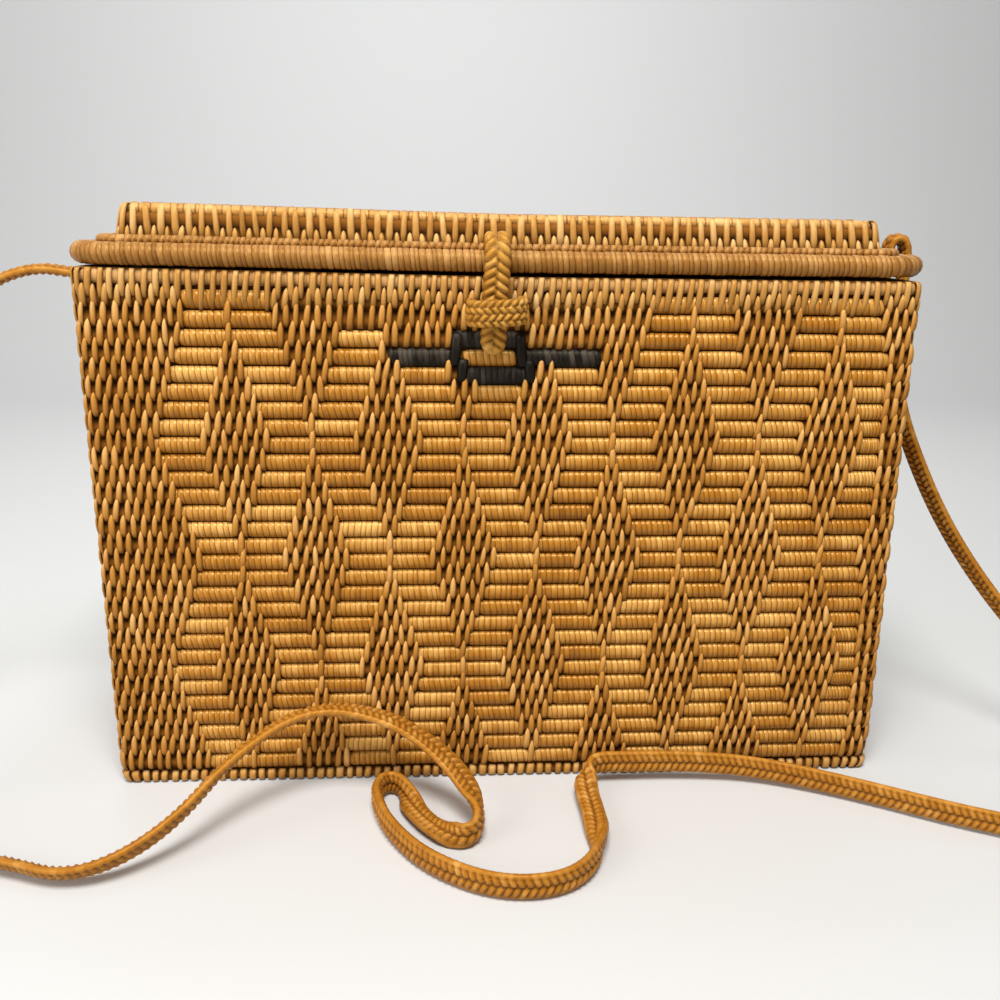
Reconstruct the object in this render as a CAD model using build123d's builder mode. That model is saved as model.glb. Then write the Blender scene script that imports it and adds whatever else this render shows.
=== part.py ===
"""Coil-woven box bag: straight-sided box, hinged lid, tongue-and-ring closure, braided strap.

Millimetres, Z up. The origin is the middle of the flat underside; the front faces -Y.
"""

import os
from math import cos, pi, radians, sin, tan

from build123d import *

os.makedirs("parts", exist_ok=True)

# Box, measured over the crests of its coils
body_width = 257.6
body_depth = 86.0
body_height = 168.0
wall = 5.0
base_thickness = 5.0
corner_band = 4.5
foot_inset = 3.2

# Coils: the rows that the box is built of, and how far they stand out
row_count = 31
top_rows = 2
relief = 1.0
crest_share = 0.5

# Woven figure on the front: floats in zigzag columns, stitches in the diamonds between
stitch_pitch = 3.36
step_stitches = 7
lattice_offset = -1.8
left_border = 27.0
right_border = 9.0
float_length = 12.8
float_height = 4.5
rib_width = 2.6
rib_pitch = 4.8
rib_half_rows = [5, 3]
border_pitch = 6.9
pocket_least = 1.2

# Dark floats round the closure, as spans from the closure's middle line
motif_short = 13.5
motif_inner = 9.2
motif_outer = 31.5
motif_lower = 11.0
motif_stitch = 7.4

# Lid: wrapped rim rod, flat flange inside it, raised block
rim_diameter = 7.5
rim_overhang = 2.0
rim_side_overhang = 3.1
rim_gap = 0.4
rim_corner = 12.0
corner_chords = 2
rod_facets = 16
flange_above = 2.0
flange_below = 1.6
flange_tuck = 1.2
block_inset = 8.6
block_height = 12.6
block_corner = 4.0
block_step = 0.6
block_taper = 9.0
lid_wall = 4.5
lid_bar_pitch = 5.4
lid_bar_width = 4.4
lid_bar_height = 0.9

# Hinge: two lashed loops that the back of the rim turns in
hinge_spread = 140.0
loop_width = 9.0
loop_thickness = 2.0
loop_play = 0.6
loop_drop = 9.0

# Closure: braided tongue on the lid, braided ring on the box
closure_offset = -4.0
tongue_width = 8.4
tongue_thickness = 4.6
tongue_drop = 21.5
tongue_tip = 3.4
tongue_bevel = 1.0
tongue_chords = 4
ring_width = 18.0
ring_height = 8.2
ring_thickness = 2.7
ring_drop = 10.2
ring_room = 3.3
ring_round = 4.5

# Strap: flat braid, knotted inside the side walls
strap_width = 8.6
strap_thickness = 3.2
strap_drop = 4.6
strap_play = 0.8
strap_turn = 8.0
knot_depth = 8.0
knot_width = 15.0
knot_height = 9.0
knot_bevel = 2.5
bend_share = 0.45

# Clearances, and how far cuts run past what they cut
seat = 0.15
touch = 0.3
notch_play = 0.5
overrun = 2.0

# Places that several pieces share
half_width = body_width / 2
half_depth = body_depth / 2
full_wall = wall + relief
inner_width = half_width - full_wall
inner_depth = half_depth - full_wall
row_pitch = body_height / row_count
rim_radius = rim_diameter / 2
rim_height = body_height + rim_gap + rim_radius
rim_half_width = half_width + rim_side_overhang - rim_radius
rim_half_depth = half_depth + rim_overhang - rim_radius
rim_bend = rim_corner - rim_radius
flange_inset = rim_radius - flange_tuck
flange_half_width = rim_half_width - flange_inset
flange_half_depth = rim_half_depth - flange_inset
flange_bend = rim_bend - flange_inset
block_foot = rim_height + flange_above
block_top = block_foot + block_height
block_half_width = half_width - block_inset
block_half_depth = half_depth - block_inset
block_row = block_height / 2
block_lean = block_row * tan(radians(block_taper))
lid_bar_count = int(2 * (block_half_depth - 2 * block_lean) // lid_bar_pitch)
hollow_half_width = block_half_width - 2 * block_lean - lid_wall
hollow_half_depth = block_half_depth - 2 * block_lean - lid_wall
loop_inner = rim_radius + loop_play
loop_outer = loop_inner + loop_thickness
loop_bottom = body_height - loop_drop
tongue_reach = rim_radius + touch + tongue_thickness / 2
tongue_line = rim_half_depth + tongue_reach
tongue_root = rim_height + tongue_reach
tongue_end = body_height - tongue_drop
ring_middle = body_height - ring_drop
ring_front = tongue_line + tongue_thickness / 2 + ring_room + ring_thickness
strap_height = body_height - strap_drop

# Front field of the woven figure, between the top rows and the lowest row
field_plane = Plane(origin=(0, relief - half_depth, 0), x_dir=(1, 0, 0), z_dir=(0, -1, 0))
field_left = corner_band - half_width
field_right = half_width - corner_band
figure_rows = range(top_rows, row_count - 1)
field_top = body_height - top_rows * row_pitch
field_foot = row_pitch
lattice_step = step_stitches * stitch_pitch
cycle = 2 * step_stitches
first_column = -int((half_width - left_border + lattice_offset) // lattice_step)
last_column = int((half_width - right_border - lattice_offset) // lattice_step)
motif_rows = {top_rows + 1: motif_short, top_rows + 2: motif_outer, top_rows + 3: motif_lower}


def row_top(row):
    return body_height - row * row_pitch


def row_middle(row):
    return row_top(row) - row_pitch / 2


def float_span(column, row):
    """Left and right end of the float of a zigzag column in a row, cut off at the right border."""
    phase = (row - top_rows) % cycle
    sway = (step_stitches / 2 - min(phase, cycle - phase)) * stitch_pitch / 2
    middle = lattice_offset + column * lattice_step + (sway if column % 2 == 0 else -sway)
    return middle - float_length / 2, min(middle + float_length / 2, half_width - right_border)


def gap_span(column, row):
    """The stitched gap of a row to the right of a column, or in the border beside the last."""
    left = field_left if column < first_column else float_span(column, row)[1]
    right = field_right if column == last_column else float_span(column + 1, row)[0]
    return left, right


def pocket_outlines():
    """Stepped outlines of the diamonds and borders, where stitches take the place of floats."""
    outlines = []
    for column in range(first_column - 1, last_column + 1):
        open_rows = []
        for row in figure_rows:
            left, right = gap_span(column, row)
            if right - left > pocket_least:
                open_rows.append(row)
            if open_rows and (right - left <= pocket_least or row == figure_rows[-1]):
                steps = [(r, z) for r in open_rows for z in (row_top(r), row_top(r + 1))]
                right_side = [(gap_span(column, r)[1], z) for r, z in steps]
                left_side = [(gap_span(column, r)[0], z) for r, z in steps]
                outline = right_side + left_side[::-1]
                pairs = zip(outline, outline[-1:] + outline)
                outlines.append([point for point, last in pairs if point != last])
                open_rows = []
    return outlines


def rib_places():
    """Stitched ribs of the diamonds and borders: places of each length, by length."""
    ribs = {}
    foot = field_foot + row_pitch / 4
    top = field_top - row_pitch / 4
    motif_foot = row_top(max(motif_rows) + 1) - row_pitch / 4

    def add(x, low, high):
        beside_motif = abs(x - closure_offset) > motif_outer + rib_width
        low, high = max(low, foot), min(high, top if beside_motif else motif_foot)
        if high - low > row_pitch:
            ribs.setdefault(round(high - low, 3), []).append((x, (low + high) / 2))

    for column in range(first_column, last_column):
        middle = lattice_offset + (column + 1 / 2) * lattice_step
        for widest in range(top_rows + (step_stitches if column % 2 == 0 else 0), row_count, cycle):
            for index, rows in enumerate(rib_half_rows):
                for side in {-index, index}:
                    x = middle + side * rib_pitch
                    add(x, row_middle(widest + rows), row_middle(widest - rows))
    x = min(gap_span(first_column - 1, row)[1] for row in figure_rows) - rib_width
    while x - rib_width > field_left:
        add(x, foot, top)
        x -= border_pitch
    x = max(gap_span(last_column, row)[0] for row in figure_rows) + rib_width
    while x + rib_width < field_right:
        add(x, foot, top)
        x += border_pitch
    return ribs


def coil_profile():
    """Section of the wall from the top down: the coils outside, then the plain inside."""
    shoulder = row_pitch * (1 - crest_share) / 2
    points = []
    for row in range(row_count):
        points.append((half_width - relief, row_top(row)))
        points.append((half_width, row_top(row) - shoulder))
        if row < row_count - 1:
            points.append((half_width, row_top(row + 1) + shoulder))
    points.append((half_width - foot_inset, 0))
    points.append((inner_width, 0))
    points.append((inner_width, body_height))
    return points


def plain_rectangle(half_x, half_y):
    """Corners of a rectangle, begun in the middle of its right side."""
    return [(half_x, 0), (half_x, half_y), (-half_x, half_y), (-half_x, -half_y), (half_x, -half_y)]


def cut_rectangle(half_x, half_y, cut):
    """Corners of a rectangle with cut corners, begun in the middle of its right side."""
    return [
        (half_x, 0),
        (half_x, half_y - cut),
        (half_x - cut, half_y),
        (cut - half_x, half_y),
        (-half_x, half_y - cut),
        (-half_x, cut - half_y),
        (cut - half_x, -half_y),
        (half_x - cut, -half_y),
        (half_x, cut - half_y),
    ]


def chorded_rectangle(half_x, half_y, radius):
    """A rectangle with round corners in short chords, begun in the middle of its right side."""
    points = [(half_x, 0)]
    for quarter, (side_x, side_y) in enumerate(((1, 1), (-1, 1), (-1, -1), (1, -1))):
        for chord in range(corner_chords + 1):
            angle = (quarter + chord / corner_chords) * pi / 2
            x = side_x * (half_x - radius) + radius * cos(angle)
            points.append((x, side_y * (half_y - radius) + radius * sin(angle)))
    return points


def tongue_bend():
    """Middle line of the tongue where it bends over the rim, from the top of the bend to its front."""
    points = []
    for chord in range(tongue_chords + 1):
        angle = chord / tongue_chords * pi / 2
        points.append((-rim_half_depth - tongue_reach * sin(angle), rim_height + tongue_reach * cos(angle)))
    return points


# Middle line of the lid's rim
with BuildLine(Plane.XY.offset(rim_height)) as rim_line:
    Polyline(*chorded_rectangle(rim_half_width, rim_half_depth, rim_bend), close=True)
rim_path = rim_line.wire()

# Basket body: coiled walls and base, with the woven figure on the front
with BuildPart() as basket_body:
    with BuildLine(Plane.XY) as plan_line:
        Polyline(*plain_rectangle(half_width, half_depth), close=True)
    with BuildSketch(Plane.XZ) as wall_section:
        with BuildLine():
            Polyline(*coil_profile(), close=True)
        make_face()
    sweep(path=plan_line.wire(), transition=Transition.RIGHT)
    with BuildSketch(Plane.XY):
        Rectangle(2 * inner_width + wall, 2 * inner_depth + wall)
    extrude(amount=base_thickness)
    with BuildSketch(field_plane):
        for outline in pocket_outlines():
            with BuildLine():
                Polyline(*outline, close=True)
            make_face()
    extrude(amount=relief + overrun, mode=Mode.SUBTRACT)
    with BuildSketch(field_plane):
        for motif_row, motif_half in motif_rows.items():
            with Locations((closure_offset, row_middle(motif_row))):
                Rectangle(2 * (motif_half + touch), row_pitch)
    extrude(amount=relief + overrun, mode=Mode.SUBTRACT)
    with BuildSketch(field_plane):
        for rib_length, places in rib_places().items():
            with Locations(*places):
                Rectangle(rib_width, rib_length)
        with Locations((closure_offset, row_middle(top_rows + 2))):
            Rectangle(2 * (motif_stitch - rib_width / 2 - touch), float_height)
    extrude(amount=relief)
    with BuildSketch(field_plane):
        for side in (-1, 1):
            with Locations((closure_offset + side * (ring_width - ring_thickness) / 2, ring_middle)):
                Rectangle(ring_thickness + 2 * seat, ring_height + 2 * seat)
    extrude(amount=full_wall + overrun, both=True, mode=Mode.SUBTRACT)
    with BuildSketch(Plane.XZ.offset(-half_depth)):
        for side in (-1, 1):
            with Locations((side * hinge_spread / 2, loop_bottom + loop_thickness / 2)):
                Rectangle(loop_width + 2 * seat, loop_thickness + 2 * seat)
    extrude(amount=full_wall + overrun, both=True, mode=Mode.SUBTRACT)
    with BuildSketch(Plane.YZ):
        with Locations((0, strap_height)):
            Rectangle(strap_width + 2 * strap_play, strap_thickness + 2 * strap_play)
    extrude(amount=half_width + overrun, both=True, mode=Mode.SUBTRACT)
basket_body.part.label = "basket_body"
export_step(basket_body.part, "parts/basket_body.step")

# Dark motif: dyed floats and stitches on the front, seated in the woven field
with BuildPart() as dark_motif:
    with BuildSketch(field_plane):
        with Locations((closure_offset, row_middle(top_rows + 1))):
            Rectangle(2 * motif_short, float_height)
        with Locations((closure_offset, row_middle(top_rows + 3))):
            Rectangle(2 * motif_lower, float_height)
        for side in (-1, 1):
            bar_middle = closure_offset + side * (motif_inner + motif_outer) / 2
            with Locations((bar_middle, row_middle(top_rows + 2))):
                Rectangle(motif_outer - motif_inner, float_height)
            with Locations((closure_offset + side * motif_stitch, row_middle(top_rows + 2))):
                Rectangle(rib_width, float_height)
    extrude(amount=relief)
dark_motif.part.label = "dark_motif"
export_step(dark_motif.part, "parts/dark_motif.step")

# Lid panel: flat flange inside the rim, raised block of two rows, coils along the top
with BuildPart() as lid_panel:
    with BuildSketch(Plane.XY.offset(rim_height - flange_below)):
        with BuildLine():
            Polyline(*chorded_rectangle(flange_half_width, flange_half_depth, flange_bend), close=True)
        make_face()
    extrude(amount=flange_below + flange_above)
    for level in range(2):
        drawn_in = level * (block_lean - block_step)
        with BuildSketch(Plane.XY.offset(block_foot + level * block_row)):
            with BuildLine():
                Polyline(
                    *cut_rectangle(block_half_width - drawn_in, block_half_depth - drawn_in, block_corner),
                    close=True,
                )
            make_face()
        extrude(amount=block_row, taper=block_taper)
    with BuildSketch(Plane.XY.offset(block_top)):
        with GridLocations(0, lid_bar_pitch, 1, lid_bar_count):
            Rectangle(2 * (block_half_width - 2 * block_lean - block_corner), lid_bar_width)
    extrude(amount=lid_bar_height)
    with BuildSketch(Plane.XY.offset(rim_height - flange_below)):
        Rectangle(2 * hollow_half_width, 2 * hollow_half_depth)
    extrude(amount=block_top - lid_wall - rim_height + flange_below, mode=Mode.SUBTRACT)
    with BuildSketch(Plane.XZ):
        with Locations((rim_half_width, rim_height)):
            RegularPolygon(rim_radius + seat, rod_facets)
    sweep(path=rim_path, transition=Transition.RIGHT, mode=Mode.SUBTRACT)
    with BuildSketch(Plane.YZ.offset(-(hinge_spread + loop_width) / 2 - notch_play)):
        with Locations((rim_half_depth, rim_height)):
            RegularPolygon(loop_outer + notch_play, rod_facets)
    extrude(amount=loop_width + 2 * notch_play, mode=Mode.SUBTRACT)
    with BuildSketch(Plane.YZ.offset((hinge_spread - loop_width) / 2 - notch_play)):
        with Locations((rim_half_depth, rim_height)):
            RegularPolygon(loop_outer + notch_play, rod_facets)
    extrude(amount=loop_width + 2 * notch_play, mode=Mode.SUBTRACT)
    with BuildSketch(Plane.XZ.offset(hollow_half_depth)):
        with Locations((closure_offset, tongue_root)):
            Rectangle(tongue_width + 2 * seat, tongue_thickness + 2 * seat)
    extrude(amount=rim_half_depth - hollow_half_depth, mode=Mode.SUBTRACT)
lid_panel.part.label = "lid_panel"
export_step(lid_panel.part, "parts/lid_panel.step")

# Lid rim: the wrapped rod round the lid, whose back run is the hinge's pin
with BuildPart() as lid_rim:
    with BuildSketch(Plane.XZ):
        with Locations((rim_half_width, rim_height)):
            RegularPolygon(rim_radius, rod_facets)
    sweep(path=rim_path, transition=Transition.RIGHT)
lid_rim.part.label = "lid_rim"
export_step(lid_rim.part, "parts/lid_rim.step")

# Closure tongue: a braid out of the block's front, over the rim and down past the ring
with BuildPart() as closure_tongue:
    with BuildLine(Plane.YZ.offset(closure_offset)) as tongue_path:
        Polyline((-hollow_half_depth, tongue_root), *tongue_bend())
    tongue_start = Plane(
        origin=(closure_offset, -hollow_half_depth, tongue_root), x_dir=(1, 0, 0), z_dir=(0, -1, 0)
    )
    with BuildSketch(tongue_start):
        Rectangle(tongue_width, tongue_thickness)
    sweep(path=tongue_path.wire(), transition=Transition.RIGHT)
    with BuildSketch(Plane.XZ.offset(tongue_line - tongue_thickness / 2)) as tongue_outline:
        with Locations((closure_offset, (tongue_end + rim_height) / 2)):
            Rectangle(tongue_width, rim_height - tongue_end)
        fillet(tongue_outline.vertices().sort_by(Axis.Y)[:2], tongue_tip)
    extrude(amount=tongue_thickness)
    chamfer(closure_tongue.faces().sort_by(Axis.Z)[0].edges().sort_by(Axis.Y)[0], tongue_bevel)
closure_tongue.part.label = "closure_tongue"
export_step(closure_tongue.part, "parts/closure_tongue.step")

# Closure ring: a braided band whose two ends go through the front wall
with BuildPart() as closure_ring:
    with BuildSketch(Plane.XY.offset(ring_middle - ring_height / 2)) as ring_plan:
        with Locations((closure_offset, -(ring_front + inner_depth) / 2)):
            Rectangle(ring_width, ring_front - inner_depth)
        fillet(ring_plan.vertices().sort_by(Axis.Y)[:2], ring_round + ring_thickness)
        inside = ring_front - ring_thickness
        with BuildLine():
            Polyline(
                (closure_offset - ring_width / 2 + ring_thickness, -inner_depth),
                (closure_offset - ring_width / 2 + ring_thickness, -inside),
                (closure_offset + ring_width / 2 - ring_thickness, -inside),
                (closure_offset + ring_width / 2 - ring_thickness, -inner_depth),
                close=True,
            )
        make_face(mode=Mode.SUBTRACT)
        fillet(ring_plan.vertices().filter_by_position(Axis.Y, -inside, -inside), ring_round)
    extrude(amount=ring_height)
closure_ring.part.label = "closure_ring"
export_step(closure_ring.part, "parts/closure_ring.step")

# Hinge loops: lashings through the back wall, round the rim's back run
for name, side in (("hinge_loop_left", -1), ("hinge_loop_right", 1)):
    with BuildPart() as hinge_loop:
        with BuildSketch(Plane.YZ.offset((side * hinge_spread - loop_width) / 2)):
            with Locations((rim_half_depth, rim_height)):
                RegularPolygon(loop_outer, rod_facets)
            with Locations((rim_half_depth, (rim_height + loop_bottom) / 2)):
                Rectangle(2 * loop_outer, rim_height - loop_bottom)
            with Locations((rim_half_depth, rim_height)):
                RegularPolygon(loop_inner, rod_facets, mode=Mode.SUBTRACT)
            with Locations((rim_half_depth, (rim_height + loop_bottom + loop_thickness) / 2)):
                Rectangle(2 * loop_inner, rim_height - loop_bottom - loop_thickness, mode=Mode.SUBTRACT)
        extrude(amount=loop_width)
    hinge_loop.part.label = name
    export_step(hinge_loop.part, f"parts/{name}.step")

# Strap knots: the strap's ends, knotted against the inside of the side walls
for name, side in (("strap_knot_left", -1), ("strap_knot_right", 1)):
    with BuildPart() as strap_knot:
        with BuildSketch(Plane.YZ.offset(side * inner_width)):
            with Locations((0, strap_height)):
                Rectangle(knot_width, knot_height)
        extrude(amount=-side * knot_depth)
        chamfer(strap_knot.faces().sort_by(Axis.X)[0 if side > 0 else -1].edges(), knot_bevel)
    strap_knot.part.label = name
    export_step(strap_knot.part, f"parts/{name}.step")

# Shoulder strap: from the left wall down to the table, along the front, up to the right wall
strap_route = [
    (-inner_width, 0, strap_height),
    (-137, 0, strap_height),
    (-158.4, -2, 166.5),
    (-184.3, -8, 150.5),
    (-204.8, -20, 112),
    (-210.1, -42, 61.5),
    (-197.4, -71, 15),
    (-171.4, -86, 5.2),
    (-147.6, -90, 4.8),
    (-124, -98, 5),
    (-100.3, -87.2, 11),
    (-82.7, -67, 22.7),
    (-62, -52, 31),
    (-38, -53, 28.3),
    (-20.2, -60, 19.5),
    (-7.2, -72.2, 10),
    (-5.1, -84.6, 5.2),
    (-13, -90.9, 4.8),
    (-23, -81.7, 4.8),
    (-30, -67.1, 4.8),
    (-34, -56.7, 4.8),
    (-40, -52.6, 4.8),
    (-45.4, -56.9, 4.8),
    (-44.9, -66.3, 4.8),
    (-38.4, -84, 4.8),
    (-25, -102.6, 4.8),
    (-5, -114.8, 4.8),
    (14.8, -112.5, 4.8),
    (26.7, -96.7, 4.8),
    (28.7, -76.8, 4.8),
    (28.7, -58.5, 5.5),
    (32.2, -49.5, 7),
    (42.6, -48.2, 7.4),
    (62.6, -48.2, 7.2),
    (86.5, -50.5, 6),
    (114.5, -63, 4.8),
    (146.3, -83.5, 4.8),
    (178.2, -97.7, 5),
    (203.3, -85, 8),
    (208.2, -58, 22.4),
    (196.3, -25, 44.4),
    (174.9, -7, 77.8),
    (155.5, 0, 114.5),
    (146, 0.3, 133.5),
    (142.8, 0.5, 151),
    (141.6, 0.3, 168.5),
    (140.8, 0, 180.2),
    (135.2, 0.3, 180.2),
    (134.8, 0, 172),
    (134.6, 0, strap_height),
    (inner_width, 0, strap_height),
]


def bend_radii(points):
    """Radius of each bend, as large as its two runs allow."""
    radii = []
    for before, at, after in zip(points, points[1:], points[2:]):
        turn = (Vector(*at) - Vector(*before)).get_angle(Vector(*after) - Vector(*at))
        shorter = min((Vector(*at) - Vector(*before)).length, (Vector(*after) - Vector(*at)).length)
        radii.append(bend_share * shorter / tan(radians(turn / 2)))
    return radii


strap_radii = bend_radii(strap_route)
with BuildPart() as shoulder_strap:
    with BuildLine() as strap_line:
        FilletPolyline(*strap_route, radius=strap_radii)
    strap_start = Plane(origin=strap_route[0], x_dir=(0, 1, 0), z_dir=strap_line.wire() % 0)
    with BuildSketch(strap_start):
        Rectangle(strap_width, strap_thickness, rotation=strap_turn)
    sweep(path=strap_line.wire())
shoulder_strap.part.label = "shoulder_strap"
export_step(shoulder_strap.part, "parts/shoulder_strap.step")
strap_length = strap_line.wire().length
swept_share = shoulder_strap.part.volume / (strap_width * strap_thickness * strap_length)
print("strap length", round(strap_length), "volume over section times length", round(swept_share, 3))
print("strap bend radii", [round(radius) for radius in strap_radii])
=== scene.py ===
"""Woven box bag: cane strips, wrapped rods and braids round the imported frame.

Every size is in millimetres in the frame's own axes, +X to the right, -Y out of the front and +Z up.
Pieces are written to Blender in metres.
"""

import logging
from dataclasses import dataclass
from enum import Enum

import bpy
import numpy as np
from mathutils import Matrix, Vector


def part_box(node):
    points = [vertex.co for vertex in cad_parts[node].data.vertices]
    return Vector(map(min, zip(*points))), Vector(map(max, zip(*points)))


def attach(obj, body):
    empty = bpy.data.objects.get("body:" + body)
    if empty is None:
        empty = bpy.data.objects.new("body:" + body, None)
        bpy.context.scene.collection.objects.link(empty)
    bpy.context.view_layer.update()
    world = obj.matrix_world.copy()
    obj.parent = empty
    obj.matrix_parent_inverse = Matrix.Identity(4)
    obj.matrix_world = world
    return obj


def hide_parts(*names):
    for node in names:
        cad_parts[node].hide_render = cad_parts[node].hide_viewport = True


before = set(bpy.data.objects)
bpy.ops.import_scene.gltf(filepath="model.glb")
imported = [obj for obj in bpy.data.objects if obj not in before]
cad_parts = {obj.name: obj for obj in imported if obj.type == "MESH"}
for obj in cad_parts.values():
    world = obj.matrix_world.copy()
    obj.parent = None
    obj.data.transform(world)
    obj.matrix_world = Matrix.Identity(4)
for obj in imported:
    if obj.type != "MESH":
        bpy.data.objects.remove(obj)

LOG = logging.getLogger("box_bag")
MM = 0.001
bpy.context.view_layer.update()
AXIS_X, AXIS_Y, AXIS_Z = np.eye(3)
CLOSURE_X = -4.0


def node_box(node: str) -> tuple[np.ndarray, np.ndarray]:
    """Lowest and highest corner of a CAD node, in millimetres.

    Args:
        node: the node's name.
    Returns:
        Two arrays of three numbers.
    """
    low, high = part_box(node)
    return np.array(low) / MM, np.array(high) / MM


def unit(vectors: np.ndarray) -> np.ndarray:
    """Vectors divided by their own lengths, along the last axis."""
    return vectors / np.linalg.norm(vectors, axis=-1, keepdims=True)


def bent(values: np.ndarray, power: float) -> np.ndarray:
    """Each value's size raised to a power, with the value's own sign."""
    return np.sign(values) * np.abs(values) ** power


def reached_at(points: np.ndarray) -> np.ndarray:
    """Distance along a line at each of its points."""
    return np.concatenate(([0], np.cumsum(np.linalg.norm(np.diff(points, axis=0), axis=1))))


def between(way: np.ndarray, reached: np.ndarray, points: np.ndarray) -> np.ndarray:
    """Points of a line at some distances, given the distance at each of its own points."""
    return np.stack([np.interp(way, reached, points[:, axis]) for axis in range(3)], axis=-1)


def placed(right: np.ndarray, up: np.ndarray, back: np.ndarray, place: tuple[float, ...]) -> Matrix:
    """Matrix of a lamp or camera at a place, with its three axes given."""
    turn = np.eye(4)
    turn[:3, 0], turn[:3, 1], turn[:3, 2] = right, up, back
    turn[:3, 3] = np.array(place) * MM
    return Matrix(turn.tolist())


def front_share(y: np.ndarray, depth: float = 60.0) -> np.ndarray:
    """How far each y lies to the front, from nothing at the back to one."""
    return np.clip(0.5 - y / depth, 0, 1)


@dataclass
class Surface:
    """Points, four-sided faces and, at each point, the marks tone, depth (painted shade) and along (lighter
    strip tips and a painted highlight on rod tops).
    """

    points: np.ndarray
    quads: np.ndarray
    marks: np.ndarray

    @staticmethod
    def marked(
        points: np.ndarray, quads: np.ndarray, tone: np.ndarray | float, depth: np.ndarray | float,
        along: np.ndarray | float = 0.5,
    ) -> "Surface":
        """A surface from a grid of points, with each mark spread over the grid.

        Args:
            points: the grid, with x, y and z along its last axis.
            quads: the faces.
            tone: the mark of the strip's tone.
            depth: the mark of how deep a point lies, which paints shade over it in the finish.
            along: the mark of the place along a strip, which lightens its tip; on rods it is the height round
                the section and paints a highlight on the upper side.
        Returns:
            The surface.
        """
        marks = np.zeros(points.shape)
        marks[..., 0], marks[..., 1], marks[..., 2] = tone, depth, along
        return Surface(points.reshape(-1, 3), quads, marks.reshape(-1, 3))

    @staticmethod
    def joined(parts: list["Surface"]) -> "Surface":
        """One surface out of several, whose faces keep to their own points.

        Args:
            parts: the surfaces to join.
        Returns:
            The joined surface.
        """
        starts = np.cumsum([0] + [len(part.points) for part in parts[:-1]])
        quads = [part.quads + start for part, start in zip(parts, starts)]
        points = np.concatenate([part.points for part in parts])
        marks = np.concatenate([part.marks for part in parts])
        return Surface(points, np.concatenate(quads), marks)


def tube_quads(stations: int, ring: int, looped: bool = False) -> np.ndarray:
    """Faces of a tube grid: each ring joined to the next, with flat caps unless it is looped.

    Args:
        stations: rings along the tube.
        ring: points in a ring, an even number, counter-clockwise seen from the far end.
        looped: whether the last ring joins the first.
    Returns:
        Four point numbers for each face.
    """
    along = np.arange(stations if looped else stations - 1)[:, None]
    round_it = np.arange(ring)[None, :]
    following = (along + 1) % stations
    beside = (round_it + 1) % ring
    here, there = along * ring, following * ring
    corners = (here + round_it, here + beside, there + beside, there + round_it)
    sides = np.stack(corners, axis=-1).reshape(-1, 4)
    if looped:
        return sides
    step = np.arange(ring // 2 - 1)
    first = np.stack((step, ring - 1 - step, ring - 2 - step, step + 1), axis=-1)
    last = first[:, ::-1] + (stations - 1) * ring
    return np.concatenate((sides, first, last))


def repeated_quads(count: int, quads: np.ndarray, size: int) -> np.ndarray:
    """The same faces for each of many copies of a shape.

    Args:
        count: how many copies.
        quads: the faces of one copy.
        size: the points of one copy.
    Returns:
        All faces, copy after copy.
    """
    return (quads[None] + (np.arange(count) * size)[:, None, None]).reshape(-1, 4)


@dataclass(frozen=True)
class Plan:
    """A rectangle with round corners, seen from above, begun in the middle of its front."""

    half_x: float
    half_y: float
    corner: float

    def stations(self, per_side: int = 6, per_corner: int = 7) -> tuple[np.ndarray, np.ndarray]:
        """Points round the plan and their outward normals: arcs joined by straight sides.

        Args:
            per_side: points inside each straight side.
            per_corner: points on each corner's arc, its ends among them.
        Returns:
            Points and normals, both with z of zero.
        """
        turn = np.linspace(0, np.pi / 2, per_corner)
        inner_x, inner_y = self.half_x - self.corner, self.half_y - self.corner
        spots, normals = [], []
        signs = ((1, -1), (1, 1), (-1, 1), (-1, -1))
        for quarter, (sign_x, sign_y) in enumerate(signs):
            angle = turn + (quarter - 1) * np.pi / 2
            arrow = np.stack((np.cos(angle), np.sin(angle), 0 * angle), axis=-1)
            arc = np.array((sign_x * inner_x, sign_y * inner_y, 0)) + self.corner * arrow
            next_x, next_y = signs[(quarter + 1) % len(signs)]
            goal = np.array((next_x * inner_x, next_y * inner_y, 0)) + self.corner * arrow[-1]
            share = np.linspace(0, 1, per_side + 2)[1:-1, None]
            spots += [arc, arc[-1] + share * (goal - arc[-1])]
            normals += [arrow, np.repeat(arrow[-1:], per_side, axis=0)]
        return np.concatenate(spots), np.concatenate(normals)

    def length(self) -> float:
        """Length of the way round."""
        return 4 * (self.half_x + self.half_y) - (8 - 2 * np.pi) * self.corner

    def at(self, way: np.ndarray) -> tuple[np.ndarray, np.ndarray]:
        """Points and normals at distances from the front's middle, towards the right.

        Args:
            way: distances round the plan.
        Returns:
            Points and normals, both with z of zero.
        """
        spots, normals = self.stations(per_side=1, per_corner=17)
        spots = np.concatenate((spots, spots[:1]))
        angle = np.unwrap(np.arctan2(normals[:, 1], normals[:, 0]))
        angle = np.append(angle, angle[0] + 2 * np.pi)
        reached = reached_at(spots)
        place = np.mod(way - (self.half_x - self.corner), reached[-1])
        turned = np.interp(place, reached, angle)
        return between(place, reached, spots), np.stack((np.cos(turned), np.sin(turned), 0 * turned), axis=-1)


@dataclass(frozen=True)
class StripShape:
    """Form of one bound strip from its lower to its upper end, in shares of its sizes."""

    along_shares: tuple[float, ...]
    width_shares: tuple[float, ...]
    lift_shares: tuple[float, ...]
    # Painted shade along the strip, darkest where the lower end tucks under.
    end_painted_shade_shares: tuple[float, ...]


RING_ACROSS = np.array((1.0, 0.5, -0.5, -1.0, -0.6, 0.6))
RING_OUT = np.array((0.0, 0.85, 0.85, 0.0, -0.6, -0.6))
# Painted shade on a strip's edges and, most, on its underside.
RING_PAINTED_SHADE = np.array((0.5, 0.0, 0.0, 0.5, 1.0, 1.0))
THIN_SHARE, BROAD_SHARE = 0.55, 0.45

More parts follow.
